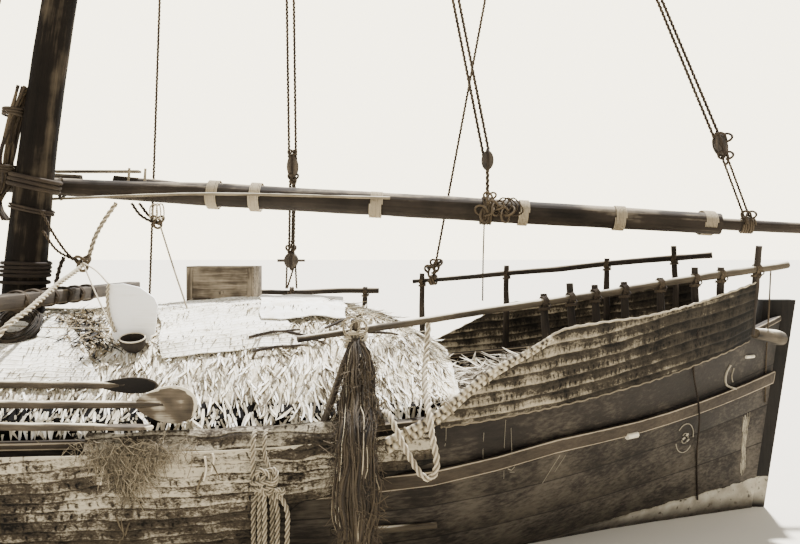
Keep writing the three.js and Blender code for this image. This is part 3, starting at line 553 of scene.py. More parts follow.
# Spars: the mast, the yard made of several poles fished together, and the poles at the sides.
# Barked teak and mangrove, scraped round and left bare: cracked along the grain, dark where ropes rub.
def spine(name, axis, apart=0.04):
    """Centres and radii of the rings of a spar's node, read along an axis."""
    points = sorted((v.co.copy() for v in frame["nodes"][name].data.vertices), key=lambda p: p[axis])
    rings = [[points[0]]]
    for p in points[1:]:
        if p[axis] - rings[-1][-1][axis] > apart:
            rings.append([])
        rings[-1].append(p)
    found = []
    for ring in rings:
        low = Vector([min(p[i] for p in ring) for i in range(3)])
        high = Vector([max(p[i] for p in ring) for i in range(3)])
        found.append(((low + high) / 2, (high.y - low.y) / 2))
    return found


def knobbly(bm, depth, size, painted_sun=0.0):
    """Moves the surface by noise drawn out along the grain and darkens the hollows; its last argument paints
    light on what faces up and shade on what faces down.
    """
    grain_of, tone_of = bm.verts.layers.float_vector["grain"], bm.verts.layers.float["tone"]
    bm.normal_update()
    for v in bm.verts:
        g = v[grain_of]
        swell = noise.fractal(Vector((g.x, g.y, g.z * 0.18)) / size, 1.0, 2.0, 3)
        v.co += v.normal * depth * swell
        # Painted light: faces turned up are lightened and the others shaded.
        lit = 1 + painted_sun * (1.3 * max(0, v.normal.z) ** 2 - 0.4)
        v[tone_of] = v[tone_of] * min(1.0, 0.88 + 0.5 * swell) * lit


# Vector noise follows the clock unless it is seeded. It bends the spars and frays the bundle.
noise.seed_set(5)


def trunk(bm, stations, step=0.1, sides=20, bow=0.0):
    """A spar through stations, each a centre and a radius; bow bends it off the straight."""
    line = follow([c for c, _ in stations], step)
    places = [(c - stations[0][0]).length for c, _ in stations]
    radii = []
    for p in line:
        along = (p - stations[0][0]).length
        j = max(1, next((k for k, d in enumerate(places) if d >= along), len(places) - 1))
        share = min(1.0, (along - places[j - 1]) / (places[j] - places[j - 1]))
        radii.append(stations[j - 1][1] + share * (stations[j][1] - stations[j - 1][1]))
    if bow:
        for i, p in enumerate(line):
            t = i / (len(line) - 1)
            wave = noise.noise_vector(Vector((t * 3.1, stations[0][0].x, 0.7)))
            line[i] = p + wave * bow * math.sin(math.pi * t)
    sweep(bm, line, radii, sides)


spar_wood = surface("weathered_spar", timber("#0c0a07", "#332c25", "#8f8370", 9.0), 0.85, 0.006, shine=0.2)
mast_wood = surface("mast_trunk", timber("#060504", "#16120e", "#4a4135", 12.0), 0.9, 0.010, shine=0.12)
pale_pole = surface("bleached_pole", timber("#3b3227", "#8f836d", "#ddd4bf", 6.0), 0.85, 0.003, shine=0.25)
rail_wood = surface("scraped_rail", timber("#130f0b", "#5d5344", "#ddd4bf", 7.0), 0.85, 0.005, shine=0.25)

bm = fresh()
trunk(bm, spine("mast", 2), 0.11, 28)
knobbly(bm, 0.009, 0.22)
piece("mast_trunk", bm, mast_wood, "hull", ["mast"], 60)

for name, bend in [("yard_main", 0.02), ("yard_aft", 0.03), ("yard_upper", 0.01), ("yard_fore", 0.02)]:
    bm = fresh()
    trunk(bm, spine(name, 0), 0.09, 20, bend)
    knobbly(bm, 0.006, 0.15, 0.5)
    piece(name + "_spar", bm, spar_wood, "yard", [name], 60)
dressed("yard_fish", spar_wood, 0, 0.006, edge=1.3)
log_low, log_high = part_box("bow_log")
log_aft = Vector((log_low.x + 0.01, log_low.y + 0.06, log_high.z - 0.045))
log_fore = Vector((log_high.x - 0.01, log_high.y - 0.062, log_low.z + 0.062))
log_stations = [(log_aft, 0.040), (log_aft.lerp(log_fore, 0.2), 0.050), (log_aft.lerp(log_fore, 0.8), 0.063),
                (log_fore, 0.057)]
for name, look, body, sides, stations in [
        ("yard_batten", pale_pole, "yard", 10, spine("yard_batten", 0, 0.02)),
        ("side_pole_starboard", rail_wood, "hull", 14, spine("side_pole_starboard", 0, 0.02)),
        ("bow_log", rail_wood, "hull", 20, log_stations)]:
    bm = fresh()
    trunk(bm, stations, 0.03, sides)
    knobbly(bm, 0.004, 0.06, 0.8)
    piece(name + "_wood", bm, look, body, [name], 60)

# Pegs driven into the yard's top just forward of the mast
yard_line = spine("yard_main", 0)
peg_height, peg_thick, peg_side = 0.13, 0.014, 0.1


def along_spar(line, axis, place):
    """Centre and radius of a spar at a place along an axis."""
    for (a, r), (b, s) in zip(line, line[1:]):
        if a[axis] <= place <= b[axis]:
            t = (place - a[axis]) / (b[axis] - a[axis])
            return a.lerp(b, t), r + (s - r) * t
    return line[-1]


def yard_at(x):
    """Centre and radius of the yard's main spar at a place along it."""
    return along_spar(yard_line, 0, x)


bm = fresh()
for x in (1.65, 1.80):
    foot, r = yard_at(x)
    trunk(bm, [(foot + Vector((0, peg_side, r * 0.7)), peg_thick),
               (foot + Vector((0.01, peg_side, r + peg_height)), peg_thick * 0.8)], 0.03, 10)
piece("yard_pegs", bm, pale_pole, "yard", crease=60)

# Lashings of the yard: flat turns of coir hauled tight round all its spars.
band_rope = 0.0062
turn_steps = 20


def wound(bm, centre, axis, across, upright, turns, thick, tone=0.6):
    """Turns of rope side by side round an axis, on an oval of two half widths."""
    axis = Vector(axis).normalized()
    side = axis.cross(Vector((0, 0, 1))).normalized() if abs(axis.z) < 0.9 else Vector((0, 1, 0))
    top = axis.cross(side).normalized()
    steps = round(turns * turn_steps)
    line = []
    for i in range(steps + 1):
        a = 2 * math.pi * i / turn_steps
        lay = thick * (2 * i / turn_steps - turns + 0.4 * noise.noise(Vector((i * 0.13, turns, centre[0]))))
        line.append(Vector(centre) + axis * lay + side * (across + thick) * math.cos(a)
                    + top * (upright + thick) * math.sin(a))
    sweep(bm, line, thick, 6, tone=tone)


band_coir = surface("lashing_coir", coir("#2e271e", "#8d7f67", "#cfc3a8"), 0.95, 0.002)
yard_run = (1, 0, -0.0556)
bm = fresh()
for x, turns, middle, across, upright in [
        (2.46, 8, (0, 0.062, 0.012), 0.07, 0.016), (2.85, 8, (0, 0.062, 0.012), 0.07, 0.016),
        (3.96, 9, (0, 0, 0), 0.003, 0.003), (5.31, 7, (0, 0, 0), 0.003, 0.003),
        (6.19, 8, (0, 0, 0), 0.003, 0.003), (7.02, 9, (0, 0.075, 0.005), 0.07, 0.008)]:
    centre, r = yard_at(x)
    wound(bm, centre + Vector(middle), yard_run, r + across, r + upright, turns, band_rope)
piece("yard_lashings", bm, band_coir, "yard", crease=80)

# Rails: a scraped pole on each bow, lashed to crooked posts with many turns of coir.
rail_thick, post_thick = 0.032, 0.030
rail_rope = 0.0055


def knot(bm, at, size, thick, tone=0.55):
    """A hitch hauled tight, drawn as a trefoil."""
    turns = hitch(Vector(at), 26, (size / 3, 1.1 * size / 3, size / 3))
    sweep(bm, follow(turns, thick), thick, 6, tone=tone)


rails = [
    ("rail_starboard", (3.480, -1.750, 1.610), (7.290, -0.672, 2.112), "gunwale_starboard", rail_wood,
     [(5.244, 0.06), (5.450, 0.11), (5.645, 0.07), (5.880, 0.06), (6.177, 0.05),
      (6.473, 0.09), (6.697, 0.06), (7.015, 0.19)]),
    ("rail_port", (4.320, 1.900, 1.900), (7.150, 0.660, 2.190), "gunwale_port", spar_wood,
     [(4.420, 0.08), (5.290, 0.08), (6.240, 0.06), (6.830, 0.12)]),
    ("side_pole_port", (2.200, 1.950, 1.770), (3.950, 1.950, 1.800), "gunwale_port", spar_wood,
     [(2.350, 0.04), (3.800, 0.04)]),
]
for name, a, b, edge, wood, posts in rails:
    a, b = Vector(a), Vector(b)
    bm = fresh()
    trunk(bm, [(a, rail_thick * 0.72), (a.lerp(b, 0.5), rail_thick * 0.9), (b, rail_thick * 0.95)],
          0.05, 14, 0.03)
    knobbly(bm, 0.006, 0.07, 1.0)
    piece(name + "_pole", bm, wood, "hull", [name], 60)
    cap_tree = hit_tree(edge)
    bm, ties = fresh(), fresh()
    for x, rise in posts:
        head = a.lerp(b, (x - a.x) / (b.x - a.x))
        foot = cap_tree.find_nearest(head + Vector((0, 0.08 * (1 if a.y > 0 else -1), 0)))[0]
        foot.x = x
        top = head + (head - foot).normalized() * rise
        trunk(bm, [(foot, post_thick * 1.15), (foot.lerp(top, 0.5), post_thick), (top, post_thick * 0.85)],
              0.04, 10, 0.012)
        wound(ties, head - (head - foot).normalized() * 0.05, head - foot, post_thick + 0.003,
              post_thick + 0.003, 2, rail_rope)
        wound(ties, head, b - a, rail_thick + 0.004, rail_thick + 0.004, 4, rail_rope)
        knot(ties, head + Vector((0.01, math.copysign(0.03, a.y), -0.035)), 0.034, rail_rope, 0.4)
    knobbly(bm, 0.005, 0.06, 0.3)
    piece(name + "_posts", bm, spar_wood, "hull", crease=60)
    piece(name + "_ties", ties, old_coir, "hull", crease=80)

# Mats: plaited palm strips as wide as a hand, sewn edge to edge, so that rows of ticks show.
# Those at the bow and along the sides hang from the edge of the hull and are weathered brown.
def grid_of(name):
    """Columns of a hung mat's node, each a list of its outer points from foot to head."""
    points = sorted({(round(v.co.x, 4), round(v.co.y, 4), round(v.co.z, 4))
                     for v in frame["nodes"][name].data.vertices})
    columns = [[points[0]]]
    for p in points[1:]:
        if p[0] - columns[-1][-1][0] > 0.12:
            columns.append([])
        columns[-1].append(p)
    grid = []
    for column in columns:
        column.sort(key=lambda p: (p[2], -abs(p[1])))
        grid.append([Vector(p) for p in column[::2]])
    return grid


def between(rows, t):
    """A point on a smooth curve through evenly counted points, t from 0 to 1."""
    place = t * (len(rows) - 1)
    i = min(int(place), len(rows) - 2)
    f = place - i
    before, a, b, after = rows[max(i - 1, 0)], rows[i], rows[i + 1], rows[min(i + 2, len(rows) - 1)]
    return (2 * a + (b - before) * f + (2 * before - 5 * a + 4 * b - after) * f * f
            + (3 * a - before - 3 * b + after) * f ** 3) / 2


def woven(bm, shape, columns, rows, thick):
    """A mat: shape turns two shares of its width and height into a point and its cloth coordinates."""
    weave = bm.loops.layers.uv.new("weave")
    grid = bmesh.ops.create_grid(bm, x_segments=columns, y_segments=rows, size=0.5)["verts"]
    cloth = {}
    for v in grid:
        v.co, cloth[v] = shape(v.co.x + 0.5, v.co.y + 0.5)
    for f in bm.faces:
        for loop in f.loops:
            loop[weave].uv = cloth[loop.vert]
    bmesh.ops.recalc_face_normals(bm, faces=bm.faces)
    bmesh.ops.solidify(bm, geom=bm.faces[:], thickness=thick)
    set_grain(bm, 0)


def plaited(dark, body, light, strip, tick, wander, cut, lap_shade_from, lap_shading, stitch_high, hairy):
    """Sewn strips, each laid over the one below: a painted highlight along its lower edge, dark stitches over
    it, and painted shade above, where the next strip covers it.
    """
    def build(tree):
        weave = node(tree, "UVMap", {"uv_map": "weave"}).outputs[0]
        cloth = node(tree, "SeparateXYZ", (), {0: weave}).outputs
        place = spot_of(tree)
        slack = mottle(tree, place, 1.3, 3.0)
        row = sums(tree, "DIVIDE", sums(tree, "MULTIPLY_ADD", slack, wander, cloth["Y"]), strip)
        row_floor, up = sums(tree, "FLOOR", row), sums(tree, "FRACT", row)
        # This ramp paints light and shade: a highlight on each strip's lower edge and shade under the strip
        # above.
        lap_light_and_shade = ramp(tree, up, (0.0, "#3a3a3a"), (0.08, "#ffffff"), (0.26, "#f4f4f4"), (0.42, "#bdbdbd"),
                   (lap_shade_from, "#a8a8a8"), (lap_shade_from * 0.4 + 0.6, "#1c1c1c"), (1.0, "#2a2a2a"))
        uneven = sums(tree, "MULTIPLY", mottle(tree, place, 11.0, 1.0), 1.6)
        along = sums(tree, "ADD", sums(tree, "DIVIDE", cloth["X"], tick),
                     sums(tree, "MULTIPLY_ADD", row_floor, 0.37, uneven))
        beside = sums(tree, "ABSOLUTE", sums(tree, "SUBTRACT", sums(tree, "FRACT", along), 0.5))
        above = sums(tree, "ABSOLUTE", sums(tree, "SUBTRACT", up, 0.38))
        stitch = sums(tree, "MULTIPLY", fade(tree, beside, 0.05, 0.17, 1.0, 0.0),
                      fade(tree, above, stitch_high * 0.5, stitch_high, 1.0, 0.0))
        loose = sums(tree, "MULTIPLY_ADD", mottle(tree, place, 4.0, 3.0), 3.6, -1.2)
        stitch = sums(tree, "MULTIPLY", stitch, loose)
        brick = node(tree, "CombineXYZ", (), {0: sums(tree, "FLOOR", along), 1: row_floor}).outputs[0]
        faded = node(tree, "TexWhiteNoise", {"noise_dimensions": "2D"}, {"Vector": brick}).outputs["Value"]
        drawn = drawn_out(tree, place, 0.45, 1.0, 1.2)
        lit = sums(tree, "MULTIPLY_ADD", mottle(tree, drawn, 3.0, 6.0, 0.66), 1.5, -0.51 - 0.7 * lap_shading)
        lit = sums(tree, "MULTIPLY_ADD", faded, 0.18, sums(tree, "MULTIPLY_ADD", lap_light_and_shade, lap_shading, lit))
        lit = sums(tree, "MULTIPLY_ADD", mottle(tree, drawn, 13.0, 3.0), 0.70, lit)
        fibre = mottle(tree, drawn_out(tree, place, 0.5, 1.0, 1.0), 95.0, 4.0, 0.7)
        lit = sums(tree, "MULTIPLY_ADD", sums(tree, "SUBTRACT", fibre, 0.5), hairy,
                   sums(tree, "MULTIPLY_ADD", stitch, -cut, lit))
        lit = sums(tree, "MULTIPLY", lit, read(tree, "tone"))
        return (ramp(tree, lit, (0.18, dark), (0.55, body), (0.95, light)),
                sums(tree, "MULTIPLY_ADD", stitch, -0.5, lap_light_and_shade))
    return build


# The eighth and ninth arguments set where the painted shade under each strip begins and how strong the
# painted light and shade are.
bow_plait = plaited("#0c0a07", "#352f26", "#9c917b", 0.078, 0.040, 0.08, 0.34, 0.66, 0.38, 0.26, 0.7)
side_plait = plaited("#0d0b08", "#443c31", "#b5ab95", 0.066, 0.072, 0.18, 0.30, 0.82, 0.30, 0.34, 1.2)
bow_weave = surface("brown_palm_mat", bow_plait, 0.95, 0.006, shine=0.2)
side_weave = surface("weathered_palm_mat", side_plait, 0.95, 0.006, shine=0.2)
mat_thick = 0.012
# Where along the side mats a paler patch lies, and how far it reaches.
paler_patch_at, paler_patch_reach = 3.1, 0.7
hem_steps = 90
for name, look, columns, rows in [
        ("bow_mat_starboard", bow_weave, 120, 24), ("bow_mat_port", bow_weave, 120, 24),
        ("side_mat_starboard", side_weave, 300, 30), ("side_mat_port", side_weave, 200, 20)]:
    grid = grid_of(name)
    side = -1 if "starboard" in name else 1
    from_head = "side" in name

    def hung(s, t):
        column = [between([c[j] for c in grid], s) for j in range(len(grid[0]))]
        p = between(column, t)
        v = -(p - column[-1]).length if from_head else (p - column[0]).length
        fold = noise.noise(Vector((p.x * 0.9 - p.z * 0.8, p.z * 4.2 + p.x * 0.5, side)))
        sag = noise.noise(Vector((p.x * 2.3 + p.z * 1.6, p.z * 3.0 - p.x * 1.2, side + 7)))
        ripple = 0.024 * fold + 0.014 * sag + 0.005 * noise.noise(Vector((p.x * 6.0, p.z * 5.0, side + 3)))
        return p + Vector((0, side * (ripple - 0.004), 0)), (p.x * 1.03, v)

    bm = fresh()
    woven(bm, hung, columns, rows, mat_thick)
    tone_of = bm.verts.layers.float["tone"]
    bm.normal_update()
    for v in bm.verts:
        # Painted light and shade on the folds: faces turned up are lightened and faces turned down darkened,
        # and a noise paints bands of shade along the folds. The side mats are paler about one place along
        # them, and the bow mats darker towards the stem.
        fold_light = v.normal.z * (1 if v.normal.y * side > 0 else -1) + (0.13 if from_head else 0.05)
        at = Vector((v.co.x * 1.1 - v.co.z * 0.8, v.co.z * 4.2 + v.co.x * 0.5, side + 0.4))
        shade = 0.12 * noise.noise(at)
        paler_patch = 0.25 * max(0.0, 1 - abs(v.co.x - paler_patch_at) / paler_patch_reach)
        v[tone_of] = 0.90 + 2.0 * shade + 2.0 * fold_light + paler_patch if from_head else \
            0.96 + shade + 0.9 * fold_light - 0.20 * max(0.0, v.co.x - 5.0)
    flat = sum(f.calc_area() for f in bm.faces) / 2
    made = piece(name.replace("mat", "matting"), bm, look, "hull", [name], 60)
    if not from_head:
        bm = fresh()
        for edge, thick, tone in ((0.0, 0.006, 0.25), (1.0, 0.007, 0.7)):
            line = [hung(k / hem_steps, edge)[0] + Vector((0, side * 0.012, 0.004 * math.sin(k * 1.9)))
                    for k in range(hem_steps + 1)]
            sweep(bm, line, [thick * (1 + 0.5 * noise.noise(p * 30)) for p in line], 6, tone=tone)
        piece(name.replace("mat", "mat_hems"), bm, dull_coir, "hull", crease=80)

# An old mat turned over the gunwale amidships, from its inner edge down over the heads of the side mats
gunwale_tree = hit_tree("gunwale_starboard")
edge_from, edge_to = 2.14, 3.98


def gunwale_edge(x):
    """The gunwale's upper outer corner at a place along it."""
    y = -2.3
    while True:
        hit = gunwale_tree.ray_cast(Vector((x, y, 3)), Vector((0, 0, -1)))[0]
        if hit:
            return hit
        y += 0.005


def turned_over(s, t):
    """The mat's shape over the gunwale, by shares of its width and height."""
    x = edge_from + (edge_to - edge_from) * s
    corner = gunwale_edge(x)
    swell = 0.022 * (1 + noise.noise(Vector((x * 4.0, 1.0, 0.0))))
    drop = -0.150 + 0.03 * noise.noise(Vector((x * 5.0, 4.0, 0.0)))
    fold = 0.012 * noise.noise(Vector((x * 3.0, t * 3.0, 2.0)))
    across = [(0.085, 0.006), (0.050, 0.012 + swell), (0.010, 0.010 + swell), (-0.026, -0.022),
              (-0.060, drop * 0.6), (-0.080, drop)]
    y, z = between([Vector(p) for p in across], t)
    return corner + Vector((0, y - abs(fold), z)), (x * 1.03, -0.28 * t)


bm = fresh()
woven(bm, turned_over, 90, 16, mat_thick)
tone_of = bm.verts.layers.float["tone"]
for v in bm.verts:
    v[tone_of] = 0.92 + 0.5 * noise.noise(Vector((v.co.x * 2.5, v.co.z * 6.0, 9.0)))
flat = sum(f.calc_area() for f in bm.faces) / 2
made = piece("gunwale_mat", bm, side_weave, "hull", crease=60)

# Rigging: tackles of two and three parts from the masthead, each with blocks of dark wood in rope strops.
# Old coir, tarred and hairy, so it reads nearly black against the sky.
mast_line = spine("mast", 2)
old_wood = surface("tarred_block_wood", timber("#0e0b08", "#2b241c", "#5a4e3f", 5.0), 0.8, 0.003)


def mast_at(z):
    """Centre and radius of the mast at a height."""
    return along_spar(mast_line, 2, z)


def foot_of(name):
    """Middle of a node's lowest vertices."""
    points = [v.co for v in frame["nodes"][name].data.vertices]
    low = min(p.z for p in points)
    foot = [p for p in points if p.z < low + 0.03]
    return sum(foot, Vector()) / len(foot)


def pulley(shell, strop, middle, reach, width, thick):
    """A block about a point, reaching as far up as down: cheeks on a sheave and pin, in a rope strop."""
    reach = Vector(reach)
    turn = reach.to_track_quat("Z", "X")
    length = 2 * reach.length
    for side in (-1, 1):
        place = Matrix.LocRotScale(middle + turn @ Vector((0, side * thick * 0.33, 0)), turn,
                                   Vector((width / 2, thick * 0.19, length / 2)))
        bmesh.ops.create_uvsphere(shell, u_segments=16, v_segments=10, radius=1.0, matrix=place)
    place = Matrix.LocRotScale(middle, turn @ Quaternion((1, 0, 0), math.pi / 2), Vector((1, 1, 1)))
    bmesh.ops.create_cone(shell, cap_ends=True, segments=20, radius1=width * 0.42, radius2=width * 0.42,
                          depth=thick * 0.3, matrix=place)
    bmesh.ops.create_cone(shell, cap_ends=True, segments=10, radius1=0.011, radius2=0.011,
                          depth=thick * 1.15, matrix=place)
    loop = [middle + turn @ Vector((0, (thick / 2 + 0.006) * math.sin(a), (length / 2 + 0.014) * math.cos(a)))
            for a in angles(20, 22)]
    sweep(strop, follow(loop, 0.02), 0.013, 6, tone=0.5)


fall_steps = 12


def falls(bm, a, b, spread, radius, twist=0.0):
    """Two parts of a tackle side by side, turned about one another if they have twisted."""
    a, b = Vector(a), Vector(b)
    for side in (-1, 1):
        line = []
        for k in range(fall_steps + 1):
            t = k / fall_steps
            line.append(a.lerp(b, t) + side * spread * Vector((math.cos(twist * t), math.sin(twist * t), 0)))
        laid(bm, line, radius, 1.5, 0.9)


collar_height, collar_rope = 11.25, 0.024
single_height = 8.7
shroud_rope = 0.016
shell, ropes = fresh(), fresh()
centre, r = mast_at(collar_height)
wound(ropes, centre, (0.38, 0, 1), r + 0.004, r + 0.004, 2, collar_rope)
lower, upper = Vector((2.995, 1.900, 2.130)), Vector((3.035, 1.700, 3.130))
pulley(shell, ropes, lower, (0, 0, 0.085), 0.15, 0.13)
pulley(shell, ropes, upper, (0, 0, 0.12), 0.12, 0.11)
trunk(shell, [(lower - Vector((0.15, 0, 0)), 0.017), (lower + Vector((0.15, 0, 0)), 0.014)], 0.03, 10)
falls(ropes, lower, upper, 0.024, 0.018)
laid(ropes, [lower, (lower + upper) / 2 + Vector((0.004, 0.02, 0)), upper], 0.013, 1.5)
falls(ropes, upper, centre + Vector((0.06, 0.112, 0)), 0.036, 0.018, 0.9)
foot = Vector((2.990, 1.950, 1.784))
for low_x, high_x in [(-0.055, -0.045), (-0.045, 0.045), (0.060, 0.045)]:
    laid(ropes, [foot + Vector((low_x, -0.012, 0.04)), lower + Vector((high_x, 0, -0.02))], 0.014, 1.5)
wound(ropes, foot, (1, 0, 0), 0.036, 0.036, 2, 0.013)
for at, spot, size in [(lower, (0, -0.02, 0.12), 0.06), (upper, (0.01, -0.03, -0.12), 0.06),
                       (upper, (0, -0.03, 0.14), 0.05)]:
    knot(ropes, at + Vector(spot), size, 0.012)
set_grain(shell, 2)
piece("port_shroud_blocks", shell, old_wood, "hull", crease=50)
piece("port_shroud_tackle", ropes, old_coir, "hull", ["shroud_tackle"], 80)

bm = fresh()
centre, r = mast_at(single_height)
foot = foot_of("shroud_single")
wound(bm, centre, (0.3, 0, 1), r + 0.004, r + 0.004, 2, collar_rope)
laid(bm, [foot, centre + Vector((0, r + 0.018, 0))], shroud_rope, 1.3)
knot(bm, foot + Vector((0.02, 0, 0.1)), 0.06, 0.012)
piece("port_single_shroud", bm, old_coir, "hull", ["shroud_single"], 80)

# Fall of the yard's outer tackle, made fast to the port rail with a toggle
outer_block = Vector((5.430, 0.190, 7.070))
fall_x = 4.540
rail_a, rail_b = Vector(rails[1][1]), Vector(rails[1][2])
fall_foot = rail_a.lerp(rail_b, (fall_x - rail_a.x) / (rail_b.x - rail_a.x))
shell, bm = fresh(), fresh()
wound(bm, fall_foot, rail_b - rail_a, 0.036, 0.036, 3, 0.012)
laid(bm, [fall_foot + Vector((0, 0, 0.045)), outer_block.lerp(fall_foot, 0.035)], shroud_rope, 1.4)
trunk(shell, [(fall_foot + Vector((-0.07, 0, 0.12)), 0.018), (fall_foot + Vector((0.09, 0, 0.20)), 0.015)],
      0.03, 10)
knot(bm, fall_foot + Vector((-0.02, -0.03, 0.10)), 0.08, 0.013)
knot(bm, fall_foot + Vector((0.03, -0.03, 0.17)), 0.07, 0.012)
set_grain(shell, 0)
piece("fall_toggle", shell, old_wood, "hull", crease=50)
piece("outer_tackle_fall", bm, old_coir, "hull", ["peak_fall"], 80)

# Halyard purchase: from the post abaft the mast to a collar at the masthead
post_x, post_y, halyard_low = 0.170, -0.300, Vector((0.170, -0.430, 2.350))
halyard_height = 11.0
shell, bm = fresh(), fresh()
centre, r = mast_at(halyard_height)
wound(bm, centre, (0.37, 0, 1), r + 0.004, r + 0.004, 2, collar_rope)
wound(bm, (post_x, post_y, 1.8), (0, 0, 1), 0.092, 0.092, 3, 0.014)
laid(bm, [(post_x, post_y - 0.112, 1.8), halyard_low], 0.02, 1.5)
pulley(shell, bm, halyard_low, (0, 0, 0.145), 0.15, 0.13)
falls(bm, halyard_low, centre + Vector((-0.08, -0.09, 0)), 0.030, 0.018, 1.6)
knot(bm, halyard_low + Vector((0, -0.02, 0.18)), 0.07, 0.013)
set_grain(shell, 2)
piece("halyard_block", shell, old_wood, "hull", crease=50)
piece("halyard_rope", bm, old_coir, "hull", ["halyard_purchase"], 80)

# Yard tackles: slung from a ring at the masthead, so that they turn with the yard.
# The sling is many turns of rope round the spars, ended in a clumsy knot.
masthead_height, parrel_height = 11.6, 2.82
swing_axis = (mast_at(masthead_height)[0] - mast_at(parrel_height)[0]).normalized()
head_at, head_r = mast_at(masthead_height)


def masthead(drop, out, side):
    """A point below the ring at the masthead, off to the bow and to one side."""
    return head_at - swing_axis * drop + Vector((out, side, 0))


bm = fresh()
wound(bm, head_at, swing_axis, head_r + 0.022, head_r + 0.022, 2, 0.014)
piece("masthead_grommet", bm, old_coir, "yard", ["masthead_ring"], 80)

shell, bm = fresh(), fresh()
low = Vector((4.985, 0.380, 3.060))
centre, r = yard_at(4.975)
wound(bm, centre, yard_run, r + 0.002, r + 0.002, 5, 0.011, 0.7)
laid(bm, [centre + Vector((0.01, 0, r)), low], 0.02, 1.3)
pulley(shell, bm, low, (0, 0, 0.09), 0.11, 0.10)
falls(bm, low, masthead(0.068, 0.105, 0.06), 0.028, 0.018, 1.2)
for spot, size in [((-0.03, -0.13, -0.02), 0.09), ((0.07, -0.13, 0.03), 0.08), ((0.16, -0.11, -0.02), 0.09),
                   ((0.02, -0.12, 0.12), 0.06)]:
    knot(bm, centre + Vector(spot), size, 0.010, 0.8)
for k in range(3):
    start = centre + Vector((0.05 + 0.05 * k, -0.115, 0.02))
    laid(bm, [start, start + Vector((0.08, -0.02, 0.09)), start + Vector((0.17, -0.01, 0.04 - 0.03 * k)),
              start + Vector((0.10, 0, -0.07)), start + Vector((0.0, 0.0, -0.03))], 0.009, 1.3)
laid(bm, [centre + Vector((-0.03, -0.1, -r)), centre + Vector((-0.035, -0.05, -r - 0.35)),
          centre + Vector((-0.035, 0, -r - 0.72))], 0.009, 1.5)
set_grain(shell, 2)
piece("inner_tackle_block", shell, old_wood, "yard", crease=50)
piece("inner_yard_tackle", bm, old_coir, "yard", ["fore_tackle"], 80)

shell, bm = fresh(), fresh()
low = Vector((7.120, 0.365, 3.200))
fore_line = spine("yard_fore", 0)
fore_a, fore_b = fore_line[0][0], fore_line[-1][0]
hold = fore_a.lerp(fore_b, (7.43 - fore_a.x) / (fore_b.x - fore_a.x))
wound(bm, hold, fore_b - fore_a, 0.060, 0.060, 5, 0.011, 0.7)
falls(bm, hold + Vector((0, 0, 0.07)), low, 0.024, 0.014)
pulley(shell, bm, low, (-0.03, 0, 0.1), 0.12, 0.11)
falls(bm, low, outer_block, 0.028, 0.018, 1.2)
pulley(shell, bm, outer_block, (-0.05, 0, 0.11), 0.13, 0.12)
laid(bm, [outer_block, masthead(0.068, 0.115, -0.06)], 0.019, 1.3)
knot(bm, low + Vector((0.02, -0.03, 0.05)), 0.08, 0.012)
knot(bm, low + Vector((0.04, -0.03, -0.11)), 0.07, 0.012)
knot(bm, hold + Vector((-0.01, -0.07, 0.08)), 0.07, 0.011)
set_grain(shell, 2)
piece("outer_tackle_blocks", shell, old_wood, "yard", crease=50)
piece("outer_yard_tackle", bm, old_coir, "yard", ["peak_tackle"], 80)

# Parrel: turns of thick rope that hold the yard to the mast, with its lashing gathered up behind
parrel_strands = 26
bm = fresh()
centre, r = mast_at(parrel_height)
wound(bm, centre, swing_axis, r + 0.026, r + 0.026, 3, 0.020, 0.5)
swing = random.Random(3)
for _ in range(parrel_strands):
    across = swing.uniform(-0.11, 0.11)
    route = []
    for height, aft in [(0.84, -0.03), (0.55, 0.03), (0.25, 0.04), (0.0, 0.05), (-0.15, 0.09), (-0.32, 0.02)]:
        middle, wide = mast_at(parrel_height + height)
        route.append(middle + Vector((-wide - 0.05 - aft + swing.uniform(-0.035, 0.02),
                                      across + swing.uniform(-0.03, 0.03), 0)))
    sweep(bm, follow(route[:swing.choice((4, 5, 6))], 0.05), 0.014, 7, tone=swing.uniform(0.3, 0.8))
for height in (0.12, 0.62):
    middle, wide = mast_at(parrel_height + height)
    wound(bm, middle + Vector((-wide - 0.09, 0, 0)), (0.1, 0, 1), 0.13, 0.075, 3, 0.012, 0.5)
for side in (-1, 1):
    laid(bm, [centre + Vector((side * (r + 0.03), 0.04, 0)), centre + Vector((side * 0.12, 0.3, 0.06)),
              centre + Vector((side * 0.10, 0.50, -0.02)), centre + Vector((side * 0.12, 0.3, -0.12)),
              centre + Vector((side * (r + 0.03), 0.03, -0.04))], 0.018, 1.3, 0.6)
piece("parrel_rope", bm, old_coir, "yard", ["parrel"], 80)

# Hold cover: palm thatch on bent poles, its leaf tips hanging ragged along the eaves.
# Dry coconut leaf, bleached on top where the sun strikes it, and darkened nearly to black by painted shade
# along the eaves below.
bm = side_copy("thatch_cover")
bmesh.ops.subdivide_edges(bm, edges=bm.edges, cuts=3, use_grid_fill=True)
bm.normal_update()
for v in bm.verts:
    v.co += v.normal * 0.016 * (noise.noise(v.co * 5) + 0.6 * noise.noise(v.co * 17))
set_grain(bm, 1)
bm.normal_update()
cover_tree = BVHTree.FromBMesh(bm)
shade_from, shade_depth = 1.11, 0.09
tone_of = bm.verts.layers.float["tone"]
# Painted shade under the eaves: below shade_from the tone falls to nothing and the bed turns nearly black.
for v in bm.verts:
    v[tone_of] = min(1.0, max(0.0, (v.co.z - shade_from) / shade_depth))


